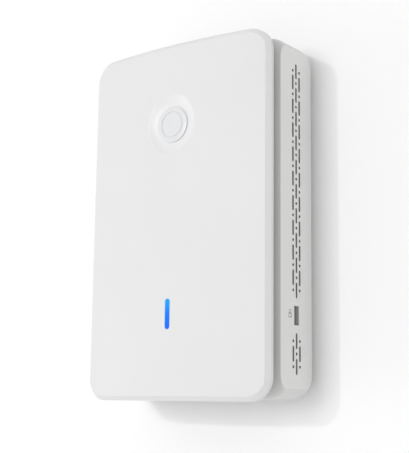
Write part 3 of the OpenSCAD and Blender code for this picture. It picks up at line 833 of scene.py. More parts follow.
class Paint:
    """Finishes of the object, each built once."""

    def __init__(self) -> None:
        """Describe every finish by its slot in the record."""
        light_low, light_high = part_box("light_pipe")
        front = -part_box("housing")[0].y
        finishes = (
            MouldedPlastic("cover_plastic", (0.75, 0.75, 0.75), 0.55),
            MouldedPlastic("housing_plastic", (0.81, 0.81, 0.80)),
            # Painted light: the dish is lighter than the rest of the cover; it is also less rough.
            MouldedPlastic("bowl_painted_light", (0.80, 0.80, 0.80), 0.4),
            MouldedPlastic("badge_plastic", (0.745, 0.75, 0.76), 0.35),
            MouldedPlastic("symbol_ink", (0.22, 0.22, 0.23), 0.5),
            # Painted shade: the cut walls of the vents are darker than the housing.
            MouldedPlastic("cut_painted_shade", (0.38, 0.38, 0.38), 0.6),
            # Painted shade: a darker colour for the housing's rounded outside, darkest just under
            # the cover.
            MouldedPlastic(
                "front_painted_shade", (0.72, 0.72, 0.715), 0.5, shade=0.80, near=front - 0.006, far=front
            ),
            # Painted shade: the walls of the security slot are darker than the housing.
            MouldedPlastic("slot_painted_shade", (0.60, 0.60, 0.60), 0.5),
            # Painted shade: the cover's neck behind the rim is near black.
            MouldedPlastic("neck_painted_shade", (0.14, 0.14, 0.14), 0.7),
            LitStrip(
                "light_strip", (0.0, 0.46, 0.97), (0.0, 0.12, 0.96), light_low.z, light_high.z
            ),
            MouldedPlastic("black_foam", (0.015, 0.015, 0.015), 0.9, 900, 0.0002),
            SolderMask("board_green", (0.012, 0.10, 0.045)),
            MouldedPlastic("led_lens", (0.85, 0.82, 0.5), 0.15),
            MouldedPlastic("chip_black", (0.022, 0.022, 0.024), 0.55, 3000),
            MouldedPlastic("thermal_pad", (0.62, 0.36, 0.42), 0.7, 500, 0.0001),
            SheetMetal("cast_aluminium", (0.62, 0.63, 0.64), 0.5, (900,) * 3),
            SheetMetal("screw_steel", (0.50, 0.50, 0.51), 0.3, (900,) * 3),
            SheetMetal("shield_tin", (0.68, 0.68, 0.67), 0.32),
            MouldedPlastic("transformer_tape", (0.62, 0.38, 0.04), 0.35, 700),
            MouldedPlastic("inductor_ferrite", (0.09, 0.09, 0.10), 0.75, 900),
            MouldedPlastic("capacitor_sleeve", (0.02, 0.03, 0.09), 0.3, 800),
            SheetMetal("jack_metal", (0.58, 0.59, 0.60), 0.3),
            SheetMetal("contact_gold", (0.80, 0.58, 0.20), 0.25),
            SheetMetal("antenna_metal", (0.70, 0.56, 0.32), 0.35),
            # Painted shade: the steel behind the security slot is near black.
            SheetMetal("plate_steel", (0.05, 0.05, 0.052), 0.5),
            SheetMetal("bracket_steel", (0.52, 0.53, 0.54), 0.4),
            MouldedPlastic("label_paper", (0.80, 0.80, 0.78), 0.5, 1500),
        )
        self.finishes = {finish.name: finish for finish in finishes}
        self.made: dict[str, bpy.types.Material] = {}
        self.slots = {part["node"]: part["material_slot"] for part in frame["record"]["subparts"]}

    def coat(self, piece: Piece, finish: str) -> None:
        """Put one finish, given by its name, all over a piece."""
        piece.data.materials.clear()
        piece.data.materials.append(self.finish(finish))

    def finish(self, name: str) -> bpy.types.Material:
        """Build a finish when it is first asked for.

        Args:
            name: name of the finish.

        Returns:
            Its material.
        """
        if name not in self.made:
            self.made[name] = self.finishes[name].build()
        return self.made[name]

    def dress_frame(self) -> None:
        """Give every CAD node the finish of its slot."""
        for node, piece in frame["nodes"].items():
            self.coat(piece, self.slots[node])

    def mount(self, piece: Piece, node: str, body: Body = Body.UNIT, coat: bool = True) -> Piece:
        """Stand a drawn piece up in place of a CAD node.

        Args:
            piece: the piece.
            node: node that it stands for.
            body: body that it rides on.
            coat: whether it still needs its finish.

        Returns:
            The piece.
        """
        Bench.stand_up(piece)
        if coat:
            self.coat(piece, self.slots[node])
        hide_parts(node)
        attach(piece, body.value)
        return piece


@dataclass
class Levels:
    """Depths of the object, in millimetres out of the wall, worked out as in the part's source."""

    shadow_gap: float = 3.6
    rim_t: float = 1.45
    bevel_d: float = 1.55
    crown: float = 3.7
    wall: float = 2.0
    pocket_d: float = 3.6
    board_down: float = 5.8
    board_t: float = 1.6
    back: float = field(init=False)
    front: float = field(init=False)

    def __post_init__(self) -> None:
        """Read the housing's depth from the frame."""
        housing = Span.of("housing")
        self.back = housing.low.z
        self.front = housing.high.z

    @property
    def rim(self) -> float:
        """Rear edge of the cover's rim."""
        return self.front + self.shadow_gap

    @property
    def out(self) -> float:
        """Front edge of the rim at the sides."""
        return self.rim + self.rim_t

    @property
    def edge(self) -> float:
        """Edge of the face at the sides."""
        return self.out + self.bevel_d

    @property
    def top(self) -> float:
        """Highest line of the crowned face."""
        return self.edge + self.crown

    @property
    def pocket(self) -> float:
        """Floor of the pocket in the back."""
        return self.back + self.pocket_d

    @property
    def floor(self) -> float:
        """Inside of the rear wall."""
        return self.pocket + self.wall

    @property
    def board(self) -> float:
        """Rear face of the main board."""
        return self.front - self.board_down

    @property
    def parts(self) -> float:
        """Front face of the main board."""
        return self.board + self.board_t

    @property
    def middle(self) -> float:
        """Middle of the housing's depth."""
        return (self.back + self.front) / 2


@dataclass
class Plan:
    """Sizes across the object that several pieces share, in millimetres."""

    bulge: float = 1.75
    edge_r: float = 6.0
    seat: float = 1.0
    lip_fit: float = 0.2
    lip_t: float = 1.2
    mouth_r: float = 6.0
    pocket_edge: float = 2.1
    pocket_b: float = 56.0
    screw_r: float = 1.5
    head_rim: float = 1.2
    light_w: float = 2.2
    light_l: float = 11.5
    light_fit: float = 0.06
    hull: Vector = field(init=False)
    panel_x: float = field(init=False)
    screws: list[Vector] = field(init=False)

    def __post_init__(self) -> None:
        """Read the outline and the corner screws from the frame."""
        housing = Span.of("housing")
        self.panel_x = housing.high.x
        self.hull = Vector((self.panel_x + self.bulge, housing.high.y))
        screws = Span.of("cover_screws")
        head = self.screw_r + self.head_rim
        x, y = screws.high.x - head, screws.high.y - head
        self.screws = [Vector((sx * x, sy * y)) for sx, sy in CORNERS]

    @property
    def light_slot(self) -> tuple[float, float]:
        """Width and length of the slot round the light strip."""
        return self.light_w + 2 * self.light_fit, self.light_l + 2 * self.light_fit

    @property
    def neck(self) -> Vector:
        """Half size of the cover's neck."""
        inset = self.edge_r + 0.25
        return self.hull - Vector((inset, inset))

    @property
    def mouth(self) -> Vector:
        """Half size of the housing's front opening."""
        return self.neck - Vector((self.seat, self.seat))

    @property
    def lip(self) -> Vector:
        """Half size of the cover's locating lip."""
        return self.mouth - Vector((self.lip_fit, self.lip_fit))

    @property
    def hollow(self) -> Vector:
        """Half size of the hollow inside the lip."""
        return self.lip - Vector((self.lip_t, self.lip_t))

    @property
    def pocket_a(self) -> float:
        """Half width of the pocket in the back."""
        return self.hull.x - self.edge_r - self.pocket_edge


@dataclass
class FrontCover:
    """Crowned cover with its bevel, dish, light slot, neck and locating lip."""

    levels: Levels
    plan: Plan
    paint: Paint
    corner_r: float = 9.0
    bevel_w: float = 1.8
    wall: float = 2.0
    lip_d: float = 2.2
    step_w: float = 0.6
    strips: int = 44
    crease: float = 0.15
    dish_r: float = 12.0
    dish_d: float = 1.5
    boss_r: float = 3.0
    thread: float = 8.0

    def __post_init__(self) -> None:
        """Work out the crown's radius."""
        cover = Span.of("front_cover")
        self.half = Vector((cover.high.x, cover.high.y))
        face_a = self.half.x - self.bevel_w
        crown = self.levels.crown
        self.face_a = face_a
        self.crown_r = (face_a**2 + crown**2) / (2 * crown)
        badge = Span.of("badge")
        self.dish_y = badge.middle.y
        self.badge_r = badge.size.x / 2

    def rise(self, x: float) -> float:
        """How far the face stands above its side edges, at a distance from the middle."""
        return self.levels.crown - self.crown_r + math.sqrt(self.crown_r**2 - x**2)

    def crown(self, piece: Piece, above: float, squeeze: float = 1.0) -> None:
        """Raise the points of a scored slab onto the crowned face.

        Args:
            piece: the slab.
            above: points from this level up are raised.
            squeeze: share of x used for points on the outer edge.
        """
        face_level = max(v.co.z for v in piece.data.vertices)
        for vertex in piece.data.vertices:
            if vertex.co.z > face_level - TINY:
                vertex.co.z += self.rise(vertex.co.x)
            elif vertex.co.z > above - TINY:
                vertex.co.z += self.rise(vertex.co.x * squeeze)

    def lines(self, half: float) -> list[float]:
        """Places of the lines scored across a slab of a half width."""
        return [half * (2 * i / self.strips - 1) for i in range(1, self.strips)]

    def plate(self) -> Piece:
        """Make the plate with its bevel and crown."""
        levels = self.levels
        plate = Bench.slab(
            "front_cover", *self.half, levels.rim, levels.out, self.corner_r, segments=16
        )
        Bench.pick(plate, "FACE", lambda face: face.normal.z > 0.9)
        bpy.ops.mesh.inset(thickness=self.bevel_w, depth=levels.bevel_d)
        Bench.rest()
        Bench.slice(plate, self.lines(self.half.x))
        self.crown(plate, levels.out, self.face_a / self.half.x)
        Bench.soften(plate, self.crease, 3, 20)
        return plate

    def hollow(self) -> Piece:
        """Make the tool that hollows the plate behind its face."""
        half = self.plan.hollow - Vector((self.step_w, self.step_w))
        tool = Bench.slab(
            "hollow", half.x, half.y, self.levels.rim - 1, self.levels.edge - self.wall,
            self.plan.mouth_r - self.plan.lip_t, segments=6,
        )
        Bench.slice(tool, self.lines(half.x))
        self.crown(tool, self.levels.edge)
        return tool

    def neck(self) -> Piece:
        """Make the neck that stands on the housing, with the lip inside it."""
        levels, plan = self.levels, self.plan
        neck = Bench.slab(
            "neck", plan.neck.x, plan.neck.y, levels.front, levels.rim + 0.5, plan.mouth_r + 1
        )
        lip = Bench.slab(
            "lip", plan.lip.x, plan.lip.y, levels.front - self.lip_d, levels.rim, plan.mouth_r
        )
        inside = Bench.slab(
            "inside", plan.hollow.x, plan.hollow.y, levels.front - self.lip_d - 1, levels.rim + 1,
            plan.mouth_r - 1,
        )
        Bench.combine(neck, [lip], "UNION")
        return Bench.combine(neck, [inside])

    def dish(self) -> Piece:
        """Make the tool that turns the round dish into the face."""
        top = self.levels.top
        rings = [
            (self.badge_r + 0.1, -self.dish_d), (self.badge_r + 0.7, -self.dish_d + 0.04),
            (self.badge_r + 1.6, -self.dish_d + 0.2), (self.badge_r + 2.7, -self.dish_d + 0.56),
            (self.dish_r - 0.9, -0.42), (self.dish_r - 0.25, -0.14), (self.dish_r, -0.03),
            (self.dish_r + 0.6, 0.05), (self.dish_r + 0.6, 2.0),
        ]
        return Bench.turned("dish", (0, self.dish_y, top), rings, sides=96)

    def build(self) -> Piece:
        """Make and place the cover.

        Returns:
            The finished cover.
        """
        levels = self.levels
        cover = self.plate()
        Bench.combine(cover, [self.hollow()])
        back = levels.top - self.wall - self.dish_d
        light = Span.of("light_pipe")
        bosses = [
            Bench.rod("boss", at, self.boss_r, levels.parts,
                     levels.edge + self.rise(at.x) - self.wall / 2)
            for at in self.plan.screws
        ]
        backing = Bench.rod(
            "backing", Vector((0, self.dish_y)), self.dish_r + 2, back, levels.top - 1.4
        )
        Bench.combine(cover, [self.neck(), backing, *bosses], "UNION")
        slot_at = (0, light.middle.y, levels.top)
        slot = Bench.pill("slot", slot_at, *self.plan.light_slot, 8, sides=48)
        bores = [
            Bench.rod("bore", at, self.plan.screw_r, levels.parts - 1, levels.parts + self.thread)
            for at in self.plan.screws
        ]
        Bench.combine(cover, [self.dish(), slot, *bores])
        Bench.tidy(cover)
        self.paint_shade_and_light(cover)
        self.paint.mount(cover, "front_cover", coat=False)
        Bench.even(cover)
        return cover

    def paint_shade_and_light(self, cover: Piece) -> None:
        """Give the neck behind the rim painted shade, a near-black colour, and the dish painted
        light, a lighter and glossier colour.

        Args:
            cover: the cover.
        """
        self.paint.coat(cover, "cover_plastic")
        # Painted shade for the neck.
        cover.data.materials.append(self.paint.finish("neck_painted_shade"))
        # Painted light for the dish.
        cover.data.materials.append(self.paint.finish("bowl_painted_light"))
        middle = Vector((0, self.dish_y))
        for face in cover.data.polygons:
            x, y, z = face.center
            in_dish = (Vector((x, y)) - middle).length < self.dish_r - 0.2
            if z < self.levels.rim - TINY:
                face.material_index = 1
            elif in_dish and face.normal.z > 0 and z > self.levels.top - self.dish_d - TINY:
                face.material_index = 2


@dataclass
class Vents:
    """Columns of dots and dashes in one side panel."""

    pitch: float = 9.4
    column: float = 2.3
    dash_l: float = 5.9
    dash_w: float = 1.15
    dot_d: float = 1.2
    rows: int = 10
    rows_below: int = 2

    def places(self) -> list[tuple[bool, float, float]]:
        """List the marks as (is a dash, distance to the front, height above the slot)."""
        found = []
        for k in range(-self.rows_below, self.rows + 1):
            if k == 0:
                continue
            found.append((True, 0.0, k * self.pitch))
            found += [(False, s * self.column, k * self.pitch) for s in (-1, 1)]
        for k in range(-self.rows_below, self.rows):
            if k in (-1, 0):
                continue
            found.append((False, 0.0, (k + 0.5) * self.pitch))
            found += [(True, s * self.column, (k + 0.5) * self.pitch) for s in (-1, 1)]
        return found

    def tool(self, x: float, depth: float, slot_y: float, mid_z: float) -> Piece:
        """Make the tool that cuts every mark of one panel.

        Args:
            x: middle of the tool along x.
            depth: length of the tool along x.
            slot_y: height of the security slot.
            mid_z: level of the middle column.

        Returns:
            The tool.
        """
        turn = Axis.RIGHT.turn()
        dash = Bench.pill("dash", (0, 0, 0), self.dash_w, self.dash_l, depth, turn, 20)
        dot = Bench.pill("dot", (0, 0, 0), self.dot_d, self.dot_d, depth, turn, 20)
        marks = [
            Bench.copy(dash if is_dash else dot, "mark", shift((x, slot_y + up, mid_z + out)))
            for is_dash, out, up in self.places()
        ]
        bpy.data.objects.remove(dash)
        bpy.data.objects.remove(dot)
        return Bench.join("vents", marks)


@dataclass
class Housing:
    """Ventilated box with rounded edges, flat side panels and a pocket in its back."""

    levels: Levels
    plan: Plan
    paint: Paint
    corner_r: float = 9.3
    rear_r: float = 8.2
    blend: float = 0.02
    slot_up: float = 30.85
    slot_w: float = 3.2
    slot_l: float = 7.2
    symbol_h: float = 3.0
    symbol_gap: float = 4.5
    ledge_h: float = 6.0
    ledge_w: float = 5.0
    hook_y: float = 28.0
    lift: float = 8.0
    ramp_push: float = 0.8
    ramp_w: float = 3.0
    crease: float = 0.1

    def hull(self) -> Piece:
        """Make the outer form, sliced flat at the vent panels."""
        levels, plan = self.levels, self.plan
        hull = Bench.pillow(
            "housing", plan.hull, levels.back, levels.front, self.corner_r, plan.edge_r,
            plan.edge_r, 12,
        )
        reach, past = plan.hull.y + self.blend, plan.hull.x + 1
        ends = Bench.box(
            "ends", (-past, -reach, levels.back - self.blend), (past, reach, levels.front + 1)
        )
        Bench.bevel(
            ends,
            lambda edge: all(v.co.z < levels.middle for v in edge.verts)
            and abs(edge.verts[0].co.y - edge.verts[1].co.y) < TINY, self.rear_r, 18,
        )
        Bench.combine(hull, [ends], "INTERSECT")
        for side in (-1, 1):
            Bench.trim(hull, (side * plan.panel_x, 0, 0), (side, 0, 0))
        Bench.soften(hull, self.crease, 2, 28)
        return hull

    def hollow(self) -> Piece:
        """Make the tool that hollows the box and leaves the pocket's walls."""
        levels, plan = self.levels, self.plan
        wall = levels.wall
        tool = Bench.pillow(
            "hollow", plan.hull - Vector((wall, wall)), levels.back + wall, levels.front - wall,
            self.corner_r - wall, plan.edge_r - wall, self.rear_r - wall, 5,
        )
        for side in (-1, 1):
            Bench.trim(tool, (side * (plan.panel_x - wall), 0, 0), (side, 0, 0))
        pocket = Bench.slab(
            "pocket_walls", plan.pocket_a + wall, plan.pocket_b + wall, 0, levels.floor, 5
        )
        return Bench.combine(tool, [pocket])

    def openings(self) -> list[Piece]:
        """Make the tools for the mouth, the pocket, the windows and the bores."""
        levels, plan = self.levels, self.plan
        uplink, row, reset = Span.of("uplink_jack"), Span.of("lan_jack"), Span.of("reset_plunger")
        fit = Vector((0.2, 0.2, 0))
        mouth = Bench.slab(
            "mouth", plan.mouth.x, plan.mouth.y, levels.front - 3, levels.front + 1, plan.mouth_r
        )
        pocket = Bench.slab("pocket", plan.pocket_a, plan.pocket_b, -1, levels.pocket, 3)
        window = Bench.box(
            "uplink_window", (*(uplink.low - fit).xy, levels.pocket - 1),
            (*(uplink.high + fit).xy, levels.floor + 1),
        )
        ports = Bench.box(
            "port_window", (row.low.x - 0.2, -plan.hull.y - 1, row.low.z - 0.2),
            (row.high.x + 0.2, -plan.hull.y + levels.wall + 1, levels.board - 0.3),
        )
        button = Bench.turned(
            "reset_hole", (reset.middle.x, -plan.hull.y - 1, reset.middle.z),
            [(1.5, 0), (1.5, levels.wall + 2)], Axis.UP,
        )
        bores = [
            Bench.rod("bore", at, plan.screw_r + 0.2, levels.pocket - 1, levels.board + 1)
            for at in plan.screws
        ]
        return [mouth, pocket, window, ports, button, *bores]

    def fittings(self) -> list[Piece]:
        """Make the hanging ledges and the ramp that presses the bracket's tongue."""
        levels, plan = self.levels, self.plan
        bracket = Span.of("wall_bracket")
        low = 1.7
        high = bracket.high.z - 1.3
        ledges = []
        for side, end in CORNERS:
            y = end * self.hook_y
            xs = sorted((side * (plan.pocket_a - self.ledge_w), side * (plan.pocket_a + 0.6)))
            ledge = Bench.box("ledge", (xs[0], y, low), (xs[1], y + self.ledge_h, high))
            Bench.soften(ledge, 0.2, 2)
            ledges.append(ledge)
        return [*ledges, self.ramp()]

    def ramp(self) -> Piece:
        """Make the ramp over the bracket's tongue."""
        tongue = Span.of("bracket_tongue")
        tip_y, tip_z = tongue.high.y - 0.1, tongue.high.z + 0.12
        slope = self.ramp_push / self.lift
        low_y, half_w = tip_y - self.lift - 0.5, self.ramp_w / 2
        high = (half_w, tip_y + 2, self.levels.pocket + 0.6)
        ramp = Bench.box("ramp", (-half_w, low_y, tip_z), high)
        for vertex in ramp.data.vertices:
            if vertex.co.z < tip_z + TINY:
                vertex.co.z += slope * (vertex.co.y - tip_y)
        return ramp

    def padlock(self, name: str, depth: float, shrink: float) -> Piece:
        """Make the upright padlock symbol in outline.

        Args:
            name: name of the piece.
            depth: how far it reaches into the panel.
            shrink: how much smaller it is than its recess.

        Returns:
            The symbol.
        """
        tall, line = self.symbol_h, self.symbol_h * 0.1
        body = Vector((tall * 0.7, tall * 0.55))
        arch = Vector((tall * 0.5, tall * 0.7))
        x = self.plan.panel_x
        y = self.slot_up - self.plan.hull.y + 0.6
        z = self.levels.middle + self.symbol_gap
        turn = Axis.RIGHT.turn()
        low = y - tall / 2

        def block(label: str, grow: float, past: float) -> Piece:
            """Make the padlock's body, larger by some width all round."""
            return Bench.box(
                label, (x - depth - past, low - grow, z - body.x / 2 - grow),
                (x + 0.3 + past, low + body.y + grow, z + body.x / 2 + grow),
            )

        symbol = block(name, -shrink, 0)
        top = y + tall / 2 - shrink
        width, length = arch.x - 2 * shrink, arch.y - 2 * shrink
        middle = x - depth / 2 + 0.15
        shackle = Bench.pill(
            "shackle", (middle, top - length / 2, z), width, length, depth + 0.3, turn
        )
        Bench.combine(symbol, [shackle], "UNION")
        hole_l = tall - body.y - line + 2 * shrink
        hole = Bench.pill(
            "hole", (middle, y + tall / 2 - line - hole_l / 2 + shrink, z),
            arch.x - 2 * line + 2 * shrink, hole_l, depth + 3, turn,
        )
        return Bench.combine(symbol, [block("inside", shrink - line, 1), hole])

    def build(self) -> Piece:
        """Make and place the housing.

        Returns:
            The finished housing.
        """
        levels, plan = self.levels, self.plan
        housing = self.hull()
        self.paint.coat(housing, "housing_plastic")
        Bench.combine(housing, [self.hollow()])
        posts = [
            Bench.rod("post", at, plan.screw_r + 2, levels.pocket + 0.6, levels.board)
            for at in plan.screws
        ]
        Bench.combine(housing, posts, "UNION")
        Bench.combine(housing, self.openings())
        slot_y = self.slot_up - plan.hull.y
        vents = Vents()
        for side in (-1, 1):
            tool = vents.tool(side * plan.panel_x, 2 * levels.wall + 0.4, slot_y, levels.middle)
            # The vents' cut walls carry painted shade.
            self.paint.coat(tool, "cut_painted_shade")
            Bench.combine(housing, [tool], finish="TRANSFER")
        half_l, half_w = self.slot_l / 2, self.slot_w / 2
        slot = Bench.box(
            "slot", (plan.panel_x - levels.wall - 0.5, slot_y - half_l, levels.middle - half_w),
            (plan.panel_x + 1, slot_y + half_l, levels.middle + half_w),
        )
        # The security slot's walls carry painted shade.
        self.paint.coat(slot, "slot_painted_shade")
        Bench.combine(housing, [slot], finish="TRANSFER")
        Bench.combine(housing, [self.padlock("recess", 0.2, 0.0)])
        Bench.combine(housing, self.fittings(), "UNION")
        Bench.tidy(housing)
        self.paint_front_shade(housing)
        self.symbol()
        return self.paint.mount(housing, "housing", coat=False)

    def paint_front_shade(self, housing: Piece) -> None:
        """Give the rounded outside painted shade: a darker colour that grows darker still under the
        cover.

        Args:
            housing: the housing.
        """
        plan = self.plan
        housing.data.materials.append(self.paint.finish("front_painted_shade"))
        last = len(housing.data.materials) - 1
        for face in housing.data.polygons:
            x, y, _ = face.center
            beyond = abs(x) > plan.mouth.x + 0.1 or abs(y) > plan.mouth.y + 0.1
            outward = face.normal.x * x + face.normal.y * y > -TINY
            rounded = abs(x) < plan.panel_x - TINY
            if beyond and outward and rounded and face.material_index == 0:
                face.material_index = last

    def symbol(self) -> None:
        """Fill the padlock's recess with grey ink."""
        ink = self.padlock("lock_symbol", 0.19, 0.04)
        Bench.trim(ink, (self.plan.panel_x - 0.05, 0, 0), (1, 0, 0))
        Bench.stand_up(ink)
        self.paint.coat(ink, "symbol_ink")
        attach(ink, Body.UNIT.value)


@dataclass
class Badge:
    """Plain disc in the dish, with one thin ring."""

    paint: Paint
    groove_w: float = 0.45
    groove_d: float = 0.25
    groove_r: float = 5.2

    def build(self) -> Piece:
        """Make and place the disc.

        Returns:
            The finished disc.
        """
        span = Span.of("badge")
        r, thick = span.size.x / 2, span.size.z
        ring = self.groove_r
        centre = (0, span.middle.y, span.low.z)
        floor = thick - self.groove_d
        profile = [
            (r - 0.05, 0.0), (r, 0.05), (r, thick - 0.15), (r - 0.05, thick - 0.05),
            (r - 0.15, thick), (ring + 0.08, thick), (ring, thick - 0.08), (ring - 0.02, floor),
            (ring - self.groove_w + 0.02, floor), (ring - self.groove_w, thick - 0.08),
            (ring - self.groove_w - 0.08, thick),
        ]
        disc = Bench.turned("badge", centre, profile, sides=96)
        return self.paint.mount(disc, "badge")


@dataclass
class StatusLight:
    """Blue light pipe, flush with the crowned face."""

    levels: Levels
    plan: Plan
    paint: Paint
    edge_r: float = 0.12
    flange_t: float = 1.2
    cover_t: float = 2.0

    def build(self) -> Piece:
        """Make and place the light pipe.

        Returns:
            The finished light pipe.
        """
        span = Span.of("light_pipe")
        y = span.middle.y
        low, high = span.low.z, span.high.z - 0.02
        size = (self.plan.light_w, self.plan.light_l, high - low)
        stem = Bench.pill("light_pipe", (0, y, (low + high) / 2), *size, sides=48)
        Bench.bevel(stem, Bench.at_level(high), self.edge_r, 3)
        flange_z = self.levels.top - self.cover_t - self.flange_t / 2 - 0.1
        size = (span.size.x, span.size.y, self.flange_t)
        flange = Bench.pill("flange", (0, y, flange_z), *size, sides=48)
        Bench.combine(stem, [flange], "UNION")
        return self.paint.mount(stem, "light_pipe")


@dataclass
class Bracket:
    """Steel wall bracket with bent hooks, and the sprung tongue cut from its sheet."""

    paint: Paint
    steel: float = 1.2
    corner_r: float = 3.0
    window: tuple[float, float] = (22.0, 17.0)
    screw_at: tuple[float, float] = (30.15, 41.65)
    screw_d: float = 4.2
    screw_l: float = 7.0
    gap: float = 0.8
    hook_y: float = 28.0
    hook_l: float = 6.0
    hook_t: float = 1.0
    hook_in: float = 3.8
    bend_r: float = 0.9
    tilt: float = 8.0

    def plate(self) -> Piece:
        """Make the flat sheet with its window, screw slots and the gap round the tongue."""
        span, tongue = Span.of("wall_bracket"), Span.of("bracket_tongue")
        plate = Bench.slab(
            "wall_bracket", span.high.x, span.size.y / 2, 0, self.steel, self.corner_r,
            (0, span.middle.y),
        )
        half_gap = tongue.high.x + self.gap
        low_y = tongue.low.y - 0.05
        cuts = [
            Bench.slab("window", *self.window, -1, self.steel + 1, self.corner_r),
            Bench.slab(
                "tongue_gap", half_gap, (-self.window[1] + 2 - low_y) / 2, -1, self.steel + 1, 0.0,
                (0, (-self.window[1] + 2 + low_y) / 2),
            ),
        ]
        x, y = self.screw_at
        lying = spin(math.pi / 2, 4, "Z")
        size = (self.screw_d, self.screw_l, 6)
        for side in (-1, 1):
            cuts.append(Bench.pill("cut", (side * x, 0, 0), *size, lying))
            cuts.append(Bench.pill("cut", (0, side * y, 0), *size))
        Bench.combine(plate, cuts)
        Bench.soften(plate, 0.15, 2)
        return plate

    def hook(self, side: int, y: float) -> Piece:
        """Make one hook: a riser bent out of the sheet, and a lip bent back over it.

        Args:
            side: -1 for the left, 1 for the right.
            y: height of the ledge that drops behind it.

        Returns:
            The hook.
        """
        span = Span.of("wall_bracket")
        top = span.high.z
        outer, inner = side * span.high.x, side * (span.high.x - self.hook_in)
        low_x, high_x = min(outer, inner), max(outer, inner)
        low_y, high_y = y - 1.6, y + self.hook_l - 1.5
        riser = Bench.box("hook", (low_x, low_y, self.steel / 2), (high_x, y - 0.1, top))
        lip = Bench.box("lip", (low_x, low_y, top - self.hook_t), (high_x, high_y, top))
        Bench.bevel(
            lip, lambda edge: all(v.co.y > high_y - TINY for v in edge.verts)
            and Bench.runs_out(edge), 1.0, 5,
        )
        Bench.combine(riser, [lip], "UNION")
        Bench.bevel(
            riser, lambda edge: all(
                v.co.y < low_y + TINY and v.co.z > top - TINY for v in edge.verts
            ), self.bend_r, 6,
        )
        return riser

    def tongue(self) -> Piece:
        """Make the tongue, tilted out of the sheet about its root."""
        span = Span.of("bracket_tongue")
        radius = self.steel / 2
        angle = math.radians(self.tilt)
        length = (span.high.z - radius - radius * math.cos(angle)) / math.sin(angle)
        tongue = Bench.slab(
            "bracket_tongue", span.high.x, length / 2, -radius, radius, 0.0, (0, length / 2)
        )
        Bench.bevel(tongue, lambda edge: Bench.runs_out(edge) and edge.verts[0].co.y > TINY, 2.0, 8)
        root = Bench.turned(
            "root", (span.low.x, 0, 0), [(radius, 0), (radius, span.size.x)], Axis.RIGHT, 24
        )
        Bench.combine(tongue, [root], "UNION")
        Bench.soften(tongue, 0.12, 2)
        place = shift((0, span.low.y + radius, radius))
        tongue.data.transform(place @ spin(angle, 4, "X"))
        return tongue

    def build(self) -> Piece:
        """Make and place the bracket and its tongue.

        Returns:
            The finished bracket.
        """
        plate = self.plate()
        hooks = [self.hook(side, end * self.hook_y) for side, end in CORNERS]
        Bench.combine(plate, hooks, "UNION")
        Bench.tidy(plate)
        self.paint.mount(self.tongue(), "bracket_tongue", Body.TONGUE)
        return self.paint.mount(plate, "wall_bracket", Body.BRACKET)


